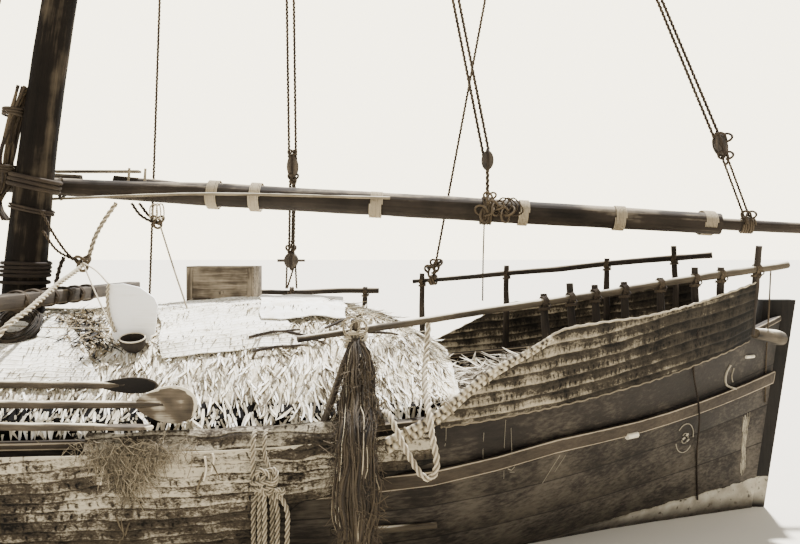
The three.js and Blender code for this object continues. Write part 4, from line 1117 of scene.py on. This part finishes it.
def dry_leaf(dark, body, pale, size):
    """Matted leaf: bleached patches and brown hollows, with fibres drawn down the slope."""
    def build(tree):
        grain = read(tree, "grain")
        fibre = mottle(tree, drawn_out(tree, grain, 1.0, 1.0, 0.12), 1 / size, 6.0, 0.7)
        lit = sums(tree, "MULTIPLY_ADD", mottle(tree, grain, 3.2, 3.0), 0.55, fibre)
        shown = sums(tree, "MULTIPLY_ADD", lit, read(tree, "tone"), -0.3)
        return ramp(tree, shown, (0.2, dark), (0.45, body), (0.62, pale)), fibre
    return build


# The dark colour of the bed is the painted shade along the eaves.
bed_leaf = dry_leaf("#080604", "#c2b69c", "#fbf7ec", 0.025)
thatch_bed = surface("matted_thatch", bed_leaf, 0.95, 0.012, shine=0.15)
loose_leaf = surface("dry_palm_leaf", dry_leaf("#5b4f3b", "#e6dcc4", "#fdfbf4", 0.03), 0.9, 0.002, 0.1)
piece("thatch_bed", bm, thatch_bed, "hull", ["thatch_cover"], 60)

# A few leaf blades of different curl, each a folded strip, are strewn to make the thatch and the straw
blade_length, blade_width = 0.2, 0.0115
blades = []
for curl in (-0.04, 0.01, 0.03, 0.06):
    bm = fresh()
    line = [Vector((0, 0, blade_length * t / 3)) for t in range(4)]
    sweep(bm, line, [blade_width * w for w in (0.6, 1.0, 0.8, 0.15)], 3)
    for v in bm.verts:
        v.co.y = v.co.y * 0.3 + curl * (v.co.z / blade_length) ** 2
    mesh = bpy.data.meshes.new("blade")
    bm.to_mesh(mesh)
    bm.free()
    blades.append(mesh)


def strew(bm, dice, at, along, up, length, tone, broad=1.0):
    """Lays one blade with its root at a point, pointing along a direction."""
    across = along.cross(up).normalized()
    turn = Matrix((across, along.cross(across), along)).transposed().to_4x4()
    size = length / blade_length
    place = Matrix.Translation(at) @ turn @ Matrix.Diagonal((broad * min(size, 1.4), 1, size, 1))
    blade = dice.choice(blades)
    blade.attributes["tone"].data.foreach_set("value", [tone] * len(blade.vertices))
    blade.transform(place)
    bm.from_mesh(blade)
    blade.transform(place.inverted())


def over_cover(x, y, lift=0.0):
    """Point and normal of the thatch below a place."""
    hit, normal, _, _ = cover_tree.ray_cast(Vector((x, y, 3.0)), Vector((0, 0, -1)))
    return (hit + normal * lift, normal) if hit else (None, None)


def eave_at(x, side):
    """Lower edge of the cover at a place along it."""
    y = 2.2 * side
    while abs(y) > 0.5:
        hit, _ = over_cover(x, y)
        if hit:
            return hit
        y -= 0.02 * side
    return None


dice = random.Random(7)
bm = fresh()
for side in (-1, 1):
    x = -4.85
    while x < 4.55:
        edge = eave_at(x, side)
        if edge:
            for _ in range(5):
                inward = dice.uniform(-0.015, 0.08)
                root = edge + Vector((dice.uniform(-0.02, 0.02), -side * inward, 0.012))
                hit, _ = over_cover(root.x, root.y, 0.006)
                root = hit or root
                down = Vector((dice.gauss(0.1, 0.35), side * (dice.uniform(0.1, 0.35) + 9 * max(0.0, inward)),
                               -dice.uniform(0.5, 1.0))).normalized()
                clump = 0.6 + 0.8 * noise.noise(Vector((x * 3.0, side, 0)))
                if dice.random() < clump:
                    strew(bm, dice, root, down, Vector((0, side * 0.7, 0.7)).normalized(),
                          dice.uniform(0.08, 0.17), dice.uniform(0.8, 1.2), 1.6)
        x += 0.022 if side < 0 else 0.045
piece("eave_fringe", bm, loose_leaf, "hull", crease=30)

for side, count in [("starboard", 9000), ("port", 3000)]:
    bm = fresh()
    for _ in range(count):
        x, y = dice.uniform(-4.7, 4.5), dice.uniform(0.0, 1.93)
        if side == "starboard":
            x, y = (dice.uniform(0.6, 4.5) if dice.random() < 0.72 else x), -y
        at, normal = over_cover(x, y, 0.006)
        if at is None or at.z < shade_from + 0.05 or Vector((x - 0.83, y, 0)).length < 0.32:
            continue
        slope = Vector((0, y, -abs(y) * 0.5)) if abs(y) > 0.3 else Vector((0.3, y, 0))
        along = slope.normalized() + Vector((dice.gauss(0.15, 0.28), dice.gauss(0, 0.12), 0))
        along = (along - normal * along.dot(normal)).normalized() + normal * dice.uniform(-0.02, 0.035)
        strew(bm, dice, at, along.normalized(), normal, dice.uniform(0.09, 0.22),
              dice.choice((0.6, 0.85, 1.0, 1.1, 1.2)))
    piece("thatch_leaves_" + side, bm, loose_leaf, "hull", crease=30)

# Straw trodden over the foredeck
deck_tree = hit_tree("foredeck")
bm = fresh()
for _ in range(1300):
    x, y = dice.uniform(4.45, 6.4), dice.uniform(-1.5, 1.4)
    hit, normal, _, _ = deck_tree.ray_cast(Vector((x, y, 3.0)), Vector((0, 0, -1)))
    if hit is None or x > 5.6 + y * 0.5:
        continue
    angle = dice.uniform(0, 2 * math.pi)
    along = Vector((math.cos(angle), math.sin(angle), dice.uniform(0.0, 0.25))).normalized()
    strew(bm, dice, hit + Vector((0, 0, 0.01 + dice.random() ** 2 * 0.09)), along, Vector((0, 0, 1)),
          dice.uniform(0.15, 0.35), dice.uniform(0.5, 1.0))
piece("foredeck_straw", bm, loose_leaf, "hull", crease=30)

# Roof mats: plaited palm laid over the thatch, bleached nearly white, stitched in rows.
# A plain cotton cloth, folded over, lies forward of them.
roof_plait = plaited("#8a8069", "#e8e2d2", "#fbf8f0", 0.055, 0.045, 0.02, 0.6, 0.8, 0.34, 0.26, 0.5)
roof_weave = surface("bleached_palm_mat", roof_plait, 0.95, 0.003)
roof_thick = 0.008


def cotton(tree):
    """Sun-bleached cotton: one noise gives faint stains and painted shade in its creases."""
    crease = node(tree, "TexNoise", {"Scale": 6.0, "Detail": 4.0, "Distortion": 1.2},
                  {"Vector": spot_of(tree)}).outputs[0]
    return ramp(tree, crease, (0.3, "#e0d8c6"), (0.6, "#fbf9f2")), crease


white_cotton = surface("bleached_cotton", cotton, 0.9, 0.01)


def laid_over(name, corners, look, columns, rows, lift):
    """A sheet on the cover: corners are foot aft, foot forward, head forward and head aft, as x and y."""
    def shape(s, t):
        foot = Vector(corners[0]).lerp(Vector(corners[1]), s)
        head = Vector(corners[3]).lerp(Vector(corners[2]), s)
        wave = 0.025 * noise.noise(Vector((s * 5, t * 5, len(name))))
        x, y = foot.lerp(head, t) + Vector((wave, wave))
        at, normal = over_cover(x, y, lift)
        ripple = 0.012 * (1 + noise.noise(Vector((x * 3.1, y * 3.7, 2.0))))
        return at + normal * ripple, (x, (foot.lerp(head, t) - foot).length)

    bm = fresh()
    woven(bm, shape, columns, rows, roof_thick)
    flat = sum(f.calc_area() for f in bm.faces) / 2
    made = piece(name, bm, look, "hull", crease=60)


laid_over("roof_mat_aft", [(-4.3, -1.62), (2.10, -1.62), (1.35, -0.42), (-4.3, -0.42)], roof_weave,
          140, 26, 0.022)
laid_over("roof_mat_middle", [(2.45, -1.35), (3.45, -1.20), (2.80, 0.30), (1.95, 0.30)], roof_weave,
          50, 40, 0.022)
laid_over("roof_cloth", [(3.10, -0.85), (3.75, -0.75), (3.62, 0.45), (2.88, 0.45)], white_cotton,
          40, 40, 0.040)
laid_over("roof_mat_port", [(-4.3, 1.60), (3.40, 1.55), (3.40, 0.45), (-4.3, 0.45)], roof_weave,
          140, 22, 0.022)

# Oars: round shafts of dry wood, each with a round or spoon-shaped blade fixed to its end.
oar_wood = surface("dry_oar_wood", timber("#14100c", "#5d5243", "#cdc3ac", 5.0), 0.8, 0.002, shine=0.3)
for name in ("oar_1", "oar_2", "oar_3"):
    node_points = [v.co for v in frame["nodes"][name].data.vertices]
    tip = max(p.x for p in node_points)
    blade = [p for p in node_points if p.x > tip - 0.3]
    low = Vector([min(p[i] for p in blade) for i in range(3)])
    high = Vector([max(p[i] for p in blade) for i in range(3)])
    middle = Vector((tip - 0.21, (low.y + high.y) / 2, (low.z + high.z) / 2))
    half = Vector((0.21, (high.y - low.y) / 2, (high.z - low.z) / 2))
    aft = [p for p in node_points if p.x < min(q.x for q in node_points) + 0.05]
    root = sum(aft, Vector()) / len(aft)
    bm = fresh()
    neck = middle - Vector((0.14, 0, 0))
    trunk(bm, [(root, 0.031), (root.lerp(neck, 0.5), 0.029), (neck, 0.025),
               (neck + Vector((0.07, 0, 0)), 0.012)], 0.06, 14, 0.012)
    knobbly(bm, 0.003, 0.08, 1.0)
    # The blade tones hold painted shade: the darkest, oar_2's, is a blade face on and in shadow.
    blade_tone = {"oar_1": 0.78, "oar_2": 0.28, "oar_3": 1.0}[name]
    made = bmesh.ops.create_uvsphere(bm, u_segments=36, v_segments=18, radius=1.0)["verts"]
    grain_of, tone_of = bm.verts.layers.float_vector["grain"], bm.verts.layers.float["tone"]
    wide = half.z > half.y
    for v in made:
        across = v.co.z if wide else v.co.y
        through = v.co.y if wide else v.co.z
        rim = math.hypot(v.co.x, across)
        dish = 1.0 - 0.45 * max(0.0, 1.0 - rim / 0.86) ** 0.6 if rim < 0.86 else 1.0
        thin = 0.55 * through * dish + 0.35 * math.copysign(1 if abs(through) > 0.12 else 0, through)
        slim = (1 - 0.5 * ((1 - v.co.x) / 2) ** 1.5) / 0.87
        v.co = Vector((v.co.x, thin, v.co.z * slim)) if wide else Vector((v.co.x, v.co.y * slim, thin))
        v[grain_of] = (v.co.y * half.y, v.co.z * half.z, v.co.x * half.x)
        # Painted highlight: the rim along the blade's upper forward edge is brightened and the rest of the
        # blade darkened.
        lit = 2.0 if rim > 0.9 and v.co.x + across > 0.35 else 0.85
        v[tone_of] = blade_tone * lit * (1 + 0.5 * noise.noise(Vector(v.co) * 2.5))
        v.co = middle + Vector([v.co[i] * half[i] for i in range(3)])
    piece(name + "_finished", bm, oar_wood, "hull", [name], 50)

# Bundle of tarred coir: lengths of old rope and raw fibre tied to a forked post, tails over the side
bundle_head = Vector((3.870, -1.718, 1.640))
bm = fresh()
for dx in (-0.210, 0.190):
    foot = gunwale_tree.find_nearest(bundle_head + Vector((dx, -0.25, -0.55)))[0]
    trunk(bm, [(foot, 0.026), (foot.lerp(bundle_head, 0.5), 0.023), (bundle_head, 0.022)], 0.04, 12, 0.02)
trunk(bm, [(bundle_head - Vector((0, 0, 0.06)), 0.030), (bundle_head + Vector((0, -0.02, 0.11)), 0.026)],
      0.03, 12)
piece("bundle_post_poles", bm, spar_wood, "hull", ["bundle_post"], 60)

bundle_line = [((3.900, y, z), r) for y, z, r in [
    (-1.880, 1.500, 0.070), (-1.970, 1.250, 0.110), (-2.180, 1.010, 0.120), (-2.200, 0.700, 0.150),
    (-2.210, 0.380, 0.120)]]
raw_coir = surface("raw_coir", coir("#0d0a07", "#2f271d", "#5f523f"), 0.95, 0.002)
for name, count, look, thick in [("coir_bundle_dark", 560, raw_coir, 0.0045),
                                 ("coir_bundle_pale", 24, band_coir, 0.0035)]:
    dice = random.Random(count)
    bm = fresh()
    for _ in range(count):
        a, far = dice.uniform(0, 2 * math.pi), dice.random() ** 0.5
        stop = dice.choice([3, 4, 4, 4])
        route = [bundle_head + Vector((dice.uniform(-0.03, 0.03), -0.03, dice.uniform(-0.05, 0.03)))]
        for middle, r in bundle_line[:stop + 1]:
            a += dice.uniform(-0.35, 0.35)
            route.append(Vector(middle) + Vector((math.cos(a) * r * far, math.sin(a) * r * far * 0.8,
                                                  dice.uniform(-0.06, 0.06))))
        line = [p + noise.noise_vector(p * 5 + Vector((count, a, 0))) * 0.035 for p in follow(route, 0.07)]
        sweep(bm, line, thick * dice.uniform(0.5, 1.4), 4, tone=dice.uniform(0.05, 0.9))
    piece(name, bm, look, "hull", ["coir_bundle"] if "dark" in name else (), 80)
bm = fresh()
for _ in range(1100):
    place = dice.random() ** 1.2 * (len(bundle_line) - 1)
    i = min(int(place), len(bundle_line) - 2)
    middle = Vector(bundle_line[i][0]).lerp(Vector(bundle_line[i + 1][0]), place - i)
    r = bundle_line[i][1] + (bundle_line[i + 1][1] - bundle_line[i][1]) * (place - i)
    a = dice.uniform(0, 2 * math.pi)
    out = Vector((math.cos(a), math.sin(a) * 0.8, 0))
    reach = dice.uniform(0.03, 0.09)
    start = middle + out * r * dice.uniform(0.7, 1.0)
    bend = start + out * reach * 0.5 + noise.noise_vector(start * 40) * 0.03
    tip = bend + out * reach * 0.4 + Vector((dice.gauss(0, 0.03), 0, dice.gauss(-0.02, 0.05)))
    sweep(bm, [start, bend, tip], dice.uniform(0.0012, 0.0026), 3, tone=dice.uniform(0.2, 1.0))
piece("coir_bundle_frizz", bm, raw_coir, "hull", crease=80)
bm = fresh()
wound(bm, bundle_head - Vector((0, 0.03, 0.03)), (0, 0.1, 1), 0.055, 0.05, 5, 0.011)
knot(bm, bundle_head + Vector((0.02, -0.06, -0.02)), 0.07, 0.011, 0.9)
for across, deep, high in [(-0.02, -0.07, 0.13), (0.03, -0.08, 0.11)]:
    loop = [bundle_head + Vector((across + 0.055 * math.sin(a), deep - 0.01 * math.cos(a),
                                  high * (1 - math.cos(a)) / 2)) for a in angles(12, 13)]
    laid(bm, loop, 0.011, 1.2, 0.9)
piece("bundle_tie", bm, dull_coir, "hull", crease=80)

# Rolled mats along the edge between the cover and the bow, tied at intervals, bleached outside
roll_route = [(4.090, -2.095, 0.955), (4.400, -2.062, 1.120), (4.750, -1.930, 1.375),
              (5.080, -1.825, 1.545), (5.220, -1.765, 1.625)]


def rolled(tree):
    """The outside of a roll: pale plait with short dark stitches in rings."""
    ring = node(tree, "TexWave", {"Scale": 7.0, "Distortion": 2.0, "Detail": 2.0, "wave_type": "BANDS",
                                  "bands_direction": "Z"}, {"Vector": read(tree, "grain")}).outputs["Fac"]
    lit = sums(tree, "MULTIPLY_ADD", ring, 0.35, mottle(tree, spot_of(tree), 24.0, 3.0))
    return ramp(tree, lit, (0.46, "#2a231a"), (0.60, "#82765f"), (0.95, "#c2b8a0")), lit


roll_weave = surface("bleached_roll", rolled, 0.95, 0.004)
bm = fresh()
line = follow(roll_route, 0.04)
last = len(line) - 1
for dz, r in [(0.026, 0.028), (-0.026, 0.026)]:
    path = [p + Vector((0, 0.006 * noise.noise(p * 4), dz * (1.0 - 0.6 * i / last)))
            for i, p in enumerate(line)]
    radii = [r * (1 - 0.45 * i / last) * (1 + 0.14 * noise.noise(p * 9)) for i, p in enumerate(path)]
    sweep(bm, path, radii, 14)
piece("rolled_mats", bm, roll_weave, "hull", ["rolled_mat"], 60)
bm = fresh()
for share in (0.12, 0.34, 0.6, 0.85):
    i = round(share * last)
    narrow = 1 - 0.4 * share
    wound(bm, line[i], line[min(i + 1, last)] - line[i - 1], 0.032 * narrow, 0.056 * narrow, 2, 0.003, 0.2)
piece("roll_ties", bm, band_coir, "hull", crease=80)

# Board stood on edge on the cover, painted white once, with a strap down its after edge
board_paint = surface("chalky_board", timber("#cfc8b8", "#fbf9f3", "#fefdfa", 4.0), 0.8, 0.001)
dressed("white_board", board_paint, 0, 0.008)

# Ropes about the foot of the mast: turns round it, a thick strap from the yard down to the cover, and
# light lines between the mast, the board and the cover. All are hauled taut and made fast.
bm = fresh()
centre, r = mast_at(2.59)
wound(bm, centre, swing_axis, r + 0.004, r + 0.004, 2, 0.012, 0.5)
for height, turns in [(2.09, 2), (2.02, 2), (1.94, 1)]:
    centre, r = mast_at(height)
    wound(bm, centre + Vector((0, 0, 0.01)), (0.06, 0.1, 1), r + 0.006, r + 0.006, turns, 0.017, 0.3)
crossing = Vector((1.405, -0.03, 2.125))
for route in [
        [(1.105, -0.170, 2.560), (1.190, -0.130, 2.370), (1.295, -0.060, 2.190), crossing],
        [(1.110, -0.165, 2.400), (1.200, -0.110, 2.240), (1.310, -0.040, 2.160), crossing]]:
    laid(bm, route, 0.014, 1.3, 0.9)
laid(bm, [(1.260, -0.080, 2.170), (1.235, -0.110, 2.080), (1.205, -0.140, 1.915)], 0.022, 1.2, 0.7)
for k in range(6):
    wound(bm, (1.23 + 0.002 * k, -0.98 + 0.30 * k, 1.838), (0, 1, 0), 0.078, 0.062, 3, 0.010, 0.5)
knot(bm, crossing, 0.075, 0.014, 0.9)
piece("mast_foot_ropes", bm, old_coir, "hull", crease=80)

strap_top, strap_foot = Vector((1.585, 0.330, 2.664)), over_cover(1.210, -1.560, 0.02)[0]
bm = fresh()
laid(bm, [strap_top, (1.50, 0.250, 2.500), (1.452, 0.150, 2.345), crossing + Vector((0.012, 0.03, 0)),
          (1.392, -0.550, 1.955), (1.365, -1.080, 1.775), (1.285, -1.375, 1.625), strap_foot], 0.024, 1.1)
strap = piece("yard_to_cover_strap", bm, new_coir, None, crease=80)
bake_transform(strap, "yard", "hull", strap_top, crossing)

bm = fresh()
board_corner = Vector((1.995, -1.150, 1.972))
board_edge = [board_corner, (1.985, -1.150, 1.860), (2.000, -1.152, 1.740), (2.045, -1.152, 1.610)]
for route, thick in [([crossing, (1.70, -0.55, 2.060), board_corner], 0.007),
                     ([crossing, (1.72, -0.60, 1.860), (2.020, -1.140, 1.640)], 0.008),
                     ([(0.98, -0.80, 1.640), (1.50, -1.00, 1.635), (2.000, -1.150, 1.640)], 0.007),
                     (board_edge, 0.015)]:
    laid(bm, route, thick, 1.3)
piece("board_lines", bm, new_coir, "hull", crease=80)

bm = fresh()
for route in [[(1.725, 0.330, 2.665), (1.80, 0.335, 2.56), (1.90, 0.330, 2.500), (1.995, 0.320, 2.470)],
              [(1.790, 0.350, 2.665), (1.87, 0.350, 2.56), (1.94, 0.335, 2.510), (1.995, 0.325, 2.475)]]:
    laid(bm, route, 0.016, 1.2, 0.6)
knot(bm, (1.965, 0.325, 2.500), 0.065, 0.012, 0.6)
piece("yard_bridle", bm, old_coir, "yard", crease=80)
bm = fresh()
for k in range(3):
    base = Vector((1.90 + 0.03 * k, 0.305, 2.53))
    laid(bm, [base, base + Vector((0.01, -0.02, 0.10)), base + Vector((0.06, -0.02, 0.12)),
              base + Vector((0.07, -0.01, 0.02)), base + Vector((0.03, 0, -0.02))], 0.008, 1.3)
piece("yard_bridle_loops", bm, new_coir, "yard", crease=80)
line_top, line_foot = Vector((1.990, 0.320, 2.460)), Vector((2.440, -0.500, 1.725))
bm = fresh()
laid(bm, [line_top, line_top.lerp(line_foot, 0.5) + Vector((0, 0, -0.012)), line_foot], 0.010, 1.3)
tail = piece("yard_bridle_tail", bm, new_coir, None, crease=80)
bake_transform(tail, "yard", "hull", line_top, line_foot)

# Small gear on the cover: a palm basket with a pale rim, a coil of raw fibre, brown leaves and a few sticks
basket_at, basket_wide, basket_deep = (2.210, -1.265, 1.560), 0.095, 0.100
bm = fresh()
made = bmesh.ops.create_uvsphere(bm, u_segments=28, v_segments=14, radius=1.0)["verts"]
bmesh.ops.delete(bm, geom=[v for v in made if v.co.z > 0.35], context="VERTS")
bmesh.ops.scale(bm, vec=(basket_wide, basket_wide * 0.8, basket_deep), verts=bm.verts)
bmesh.ops.rotate(bm, matrix=Matrix.Rotation(math.radians(24), 3, "X"), verts=bm.verts)
bmesh.ops.translate(bm, vec=basket_at, verts=bm.verts)
rim = [v.co.copy() for v in bm.verts if v.is_boundary]
bmesh.ops.solidify(bm, geom=bm.faces[:], thickness=0.008)
set_grain(bm, 2)
for v in bm.verts:
    v[bm.verts.layers.float["tone"]] = 0.15
piece("frond_basket", bm, raw_coir, "hull", crease=60)
rim.sort(key=lambda p: math.atan2(p.y - basket_at[1], p.x - basket_at[0]))
bm = fresh()
sweep(bm, follow(rim + rim[:2], 0.012), 0.005, 6, tone=0.8)
piece("frond_basket_rim", bm, new_coir, "hull", crease=80)

coil_x, coil_y, coil_radius, coil_thick, coil_strands = 1.225, -0.980, 0.15, 0.055, 90
brown_leaf = surface("brown_fronds", dry_leaf("#0d0a07", "#3a3024", "#8b7c61", 0.03), 0.9, 0.002)
bm = fresh()
for _ in range(coil_strands):
    start, a = dice.uniform(0, 2 * math.pi), dice.uniform(0, 2 * math.pi)
    far = dice.random() ** 0.5 * coil_thick
    route = []
    for k in range(dice.choice((8, 11, 14))):
        angle = start + 0.42 * k
        reach = coil_radius + far * math.cos(a + 0.2 * k) + dice.uniform(-0.012, 0.012)
        x, y = coil_x + reach * math.cos(angle), coil_y + reach * 0.7 * math.sin(angle)
        lift = coil_thick + far * math.sin(a + 0.2 * k) + 0.06 * math.sin(angle) + 0.06
        route.append(over_cover(x, y)[0] + Vector((0, 0, lift)))
    sweep(bm, follow(route, 0.05), dice.uniform(0.003, 0.007), 5, tone=dice.uniform(0.05, 0.6))
piece("fibre_coil", bm, raw_coir, "hull", crease=80)

bm = fresh()
for _ in range(420):
    share = dice.random()
    x, y = 1.42 + 0.55 * share + dice.gauss(0, 0.09), -0.45 - 0.75 * share + dice.gauss(0, 0.14)
    at, normal = over_cover(x, y, 0.012 + 0.03 * dice.random())
    along = Vector((dice.gauss(0.2, 0.6), -1, 0))
    along = (along - normal * along.dot(normal)).normalized() + normal * dice.uniform(-0.05, 0.2)
    strew(bm, dice, at, along.normalized(), normal, dice.uniform(0.08, 0.18),
          dice.choice((0.5, 0.9, 1.3, 1.5)))
piece("brown_leaves", bm, brown_leaf, "hull", crease=30)

bm = fresh()
for a, b in [((3.05, -1.15), (3.42, -1.02)), ((3.10, -1.30), (3.50, -1.22)), ((3.30, -1.05), (3.62, -1.20)),
             ((3.60, -0.95), (3.85, -0.60)), ((3.9, -0.9), (4.15, -0.75))]:
    ends = [over_cover(*p, 0.035)[0] for p in (a, b)]
    middle = ends[0].lerp(ends[1], 0.5) + Vector((0, 0, 0.01))
    trunk(bm, [(ends[0], 0.012), (middle, 0.011), (ends[1], 0.008)], 0.03, 8, 0.02)
piece("cover_sticks", bm, spar_wood, "hull", crease=60)

# Fibre caught on the side mats: a clump of raw coir, stray straws, and strips torn from the plait
side_tree = hit_tree("side_mat_starboard")


def on_side(x, z, out=0.02):
    """A point just off the starboard mats at a place along and up the side, or at their edge."""
    hit = None
    while hit is None:
        hit = side_tree.ray_cast(Vector((x, -4, z)), Vector((0, 1, 0)))[0]
        z -= 0.01
    return hit + Vector((0, -out, 0))


tangle_x, tangle_top, tangle_deep, mat_head, tangle_fibres = 2.46, 1.08, 0.42, 0.985, 1500
bm = fresh()
for _ in range(tangle_fibres):
    across, down = dice.gauss(0, 0.40), dice.random()
    x, z = tangle_x + across * (0.40 - 0.22 * down), tangle_top - tangle_deep * down * (1 - 0.5 * abs(across))
    at = on_side(x, min(z, mat_head), 0.03 + 0.05 * dice.random()) + Vector((0, 0, max(0.0, z - mat_head)))
    curl = Vector((dice.gauss(0, 0.035), dice.uniform(-0.03, 0.01), dice.gauss(-0.02, 0.035)))
    twist = Vector((dice.gauss(0, 0.03), dice.uniform(-0.01, 0.01), dice.gauss(-0.03, 0.03)))
    sweep(bm, [at, at + curl, at + curl + twist], dice.uniform(0.0014, 0.0030), 3,
          tone=dice.uniform(0.0, 0.6))
piece("fibre_tangle", bm, dull_coir, "hull", crease=80)
bm = fresh()
for x, z in [(2.36, 0.53), (2.39, 0.50), (2.42, 0.42), (2.38, 0.36), (2.44, 0.47), (2.92, 0.80),
             (2.97, 0.86)]:
    along = Vector((dice.gauss(0, 0.4), -0.12, -0.8)).normalized()
    strew(bm, dice, on_side(x, z, 0.03), along, Vector((0, -1, 0)), dice.uniform(0.08, 0.16), 0.8)
clump_leaf = surface("bleached_fibre", dry_leaf("#2a2117", "#85775d", "#d8ccb0", 0.03), 0.95, 0.002)
piece("fibre_on_mats", bm, clump_leaf, "hull", crease=30)
bm = fresh()
for x, z_from, z_to in [(2.255, 1.02, 0.80), (2.275, 1.00, 0.72), (2.98, 0.97, 0.80), (2.93, 0.90, 0.74)]:
    sweep(bm, follow([on_side(x, z_from, 0.035), on_side(x + 0.01, (z_from + z_to) / 2, 0.03),
                      on_side(x - 0.01, z_to, 0.02)], 0.03), 0.007, 5, tone=1.0)
piece("torn_strips", bm, new_coir, "hull", crease=80)

# Marks on the bow: a moulding that hooks up from the wale, a round eye cut in the planks, a band of lime
# and a few scores in it.
bow_trees = [hit_tree(name) for name in ("planking_starboard", "wale_starboard", "stem", "bow_mat_starboard")]


def on_bow(x, z, out):
    """A point off the starboard bow's skin at a place along and up it."""
    hits = [tree.ray_cast(Vector((x, -4, z)), Vector((0, 1, 0)))[0] for tree in bow_trees]
    outer = min((h for h in hits if h), key=lambda h: h.y)
    return outer + Vector((0, -out, 0))


lime_white = surface("lime_wash", timber("#6f6757", "#c9c0aa", "#efe9dc", 3.0), 0.9, 0.001)
bm = fresh()
hook = [(6.850, 1.300), (6.815, 1.245), (6.812, 1.180), (6.845, 1.125), (6.92, 1.100)]
sweep(bm, follow([on_bow(x, z, 0.006) for x, z in hook], 0.02), 0.009, 8, tone=0.5)
inner = [(6.900, 1.270), (6.885, 1.200), (6.905, 1.150)]
sweep(bm, follow([on_bow(x, z, 0.004) for x, z in inner], 0.02), 0.005, 8, tone=0.4)
eye_x, eye_z = 6.452, 0.728
for wide, high in [(0.085, 0.125), (0.030, 0.045)]:
    ring = [on_bow(eye_x + wide * math.cos(a), eye_z + high * math.sin(a), 0.003) for a in angles(20)]
    sweep(bm, follow(ring[:9], 0.02), 0.004, 6, tone=0.5)
    sweep(bm, follow(ring[11:19], 0.02), 0.004, 6, tone=0.5)
for x, z in [(6.43, 0.72), (6.46, 0.75), (6.475, 0.70)]:
    sweep(bm, [on_bow(x, z, 0.002), on_bow(x + 0.02, z + 0.015, 0.002)], 0.008, 6, tone=0.6)
sweep(bm, follow([on_bow(7.03, 1.350, 0.01), on_bow(7.13, 1.345, 0.01)], 0.02), 0.014, 8)
sweep(bm, follow([on_bow(5.86, 0.845, 0.004), on_bow(5.95, 0.850, 0.004)], 0.02), 0.024, 8)
scores = [
    (0.0021, [(5.330, 0.753), (5.270, 0.650), (5.210, 0.541)]),
    (0.00168, [(5.375, 0.745), (5.300, 0.620)]),
    (0.0035, [(4.935, 0.695), (4.960, 0.680), (4.985, 0.705)]),
    (0.00252, [(4.950, 0.668), (4.985, 0.662)]),
    (0.0014, [(4.752, 0.98), (4.748, 0.84), (4.755, 0.70)]),
    (0.00126, [(4.905, 1.06), (4.900, 0.88), (4.908, 0.62)]),
    (0.00126, [(4.945, 1.00), (4.948, 0.82)]),
    (0.00154, [(4.485, 1.12), (4.490, 0.96), (4.482, 0.90)]),
]
for thick, marks in scores:
    line = [on_bow(x, z, 0.002) for x, z in marks]
    sweep(bm, follow(line, 0.03) if len(line) > 2 else line, thick, 5, tone=0.45)
piece("bow_marks", bm, lime_white, "hull", crease=60)

# A run of lime down the bow, in many thin streaks
streak_x, streak_wide, streak_low, streak_high, streaks = 7.112, 0.015, 0.38, 0.86, 130
bm = fresh()
dice = random.Random(31)
for _ in range(streaks):
    x, z = dice.gauss(streak_x, streak_wide), dice.uniform(streak_low, streak_high)
    sweep(bm, [on_bow(x, z, 0.001), on_bow(x + 0.002, z - dice.uniform(0.03, 0.10), 0.001)],
          dice.uniform(0.0012, 0.0035), 5, tone=dice.uniform(0.3, 0.7))
piece("bow_streak", bm, lime_white, "hull", crease=60)

# Light lines that hang down the bow from the rail
bm = fresh()
rail_end = Vector((7.140, -0.715, 2.075))
fore_route = [on_bow(*p) for p in [(7.290, 1.40, 0.02), (7.310, 1.18, 0.012), (7.330, 0.92, 0.010)]]
laid(bm, [rail_end, rail_end.lerp(on_bow(7.290, 1.40, 0.03), 0.6), *fore_route], 0.008, 1.3)
aft_route = [on_bow(*p) for p in [(6.43, 1.60, 0.014), (6.44, 1.30, 0.012), (6.53, 0.95, 0.010),
                                  (6.60, 0.55, 0.010), (6.66, 0.15, 0.010)]]
laid(bm, [(6.462, -0.938, 1.842), *aft_route], 0.009, 1.3, 0.5)
piece("bow_lines", bm, old_coir, "hull", crease=80)

# Floor at the waterline, a hazy sky all round, and the sun high behind the boat
floor_size = 400
floor = bpy.data.meshes.new("floor")
bm = bmesh.new()
bmesh.ops.create_grid(bm, x_segments=1, y_segments=1, size=floor_size)
bm.to_mesh(floor)
bm.free()


def matt_paper(tree):
    """Plain pale paper, hardly uneven."""
    patch = node(tree, "TexNoise", {"Scale": 0.05}).outputs[0]
    return ramp(tree, patch, (0.0, "#d9d2c2"), (1.0, "#ded7c8")), patch


floor.materials.append(surface("pale_floor", matt_paper, 0.9, 0.0))
floor = bpy.data.objects.new("floor", floor)
bpy.context.scene.collection.objects.link(floor)

world = bpy.data.worlds.new("hazy_sky")
bpy.context.scene.world = world
world.use_nodes = True
sky = world.node_tree
sky.nodes.clear()
haze, shade_light, sky_light, seen_sky = "#f6ecd2", "#f7f4ee", 1.1, 6.0
glow = node(sky, "Background", {"Color": linear(shade_light), "Strength": sky_light})
beyond = node(sky, "Background", {"Color": linear(haze), "Strength": seen_sky})
seen = node(sky, "LightPath").outputs["Is Camera Ray"]
both = node(sky, "MixShader", (), {0: seen, 1: glow.outputs[0], 2: beyond.outputs[0]})
node(sky, "OutputWorld", (), {"Surface": both.outputs[0]})


sun_at, sun_aim, sun_energy, sun_angle = Vector((7.0, 6.0, 14.0)), Vector((4.0, -0.5, 1.0)), 17.0, 0.05
sunlight = bpy.data.lights.new("high_sun", "SUN")
sunlight.energy = sun_energy
sunlight.angle = sun_angle
sun = bpy.data.objects.new("high_sun", sunlight)
sun.location = sun_at
sun.rotation_euler = (sun_aim - sun_at).to_track_quat("-Z", "Y").to_euler()
bpy.context.scene.collection.objects.link(sun)
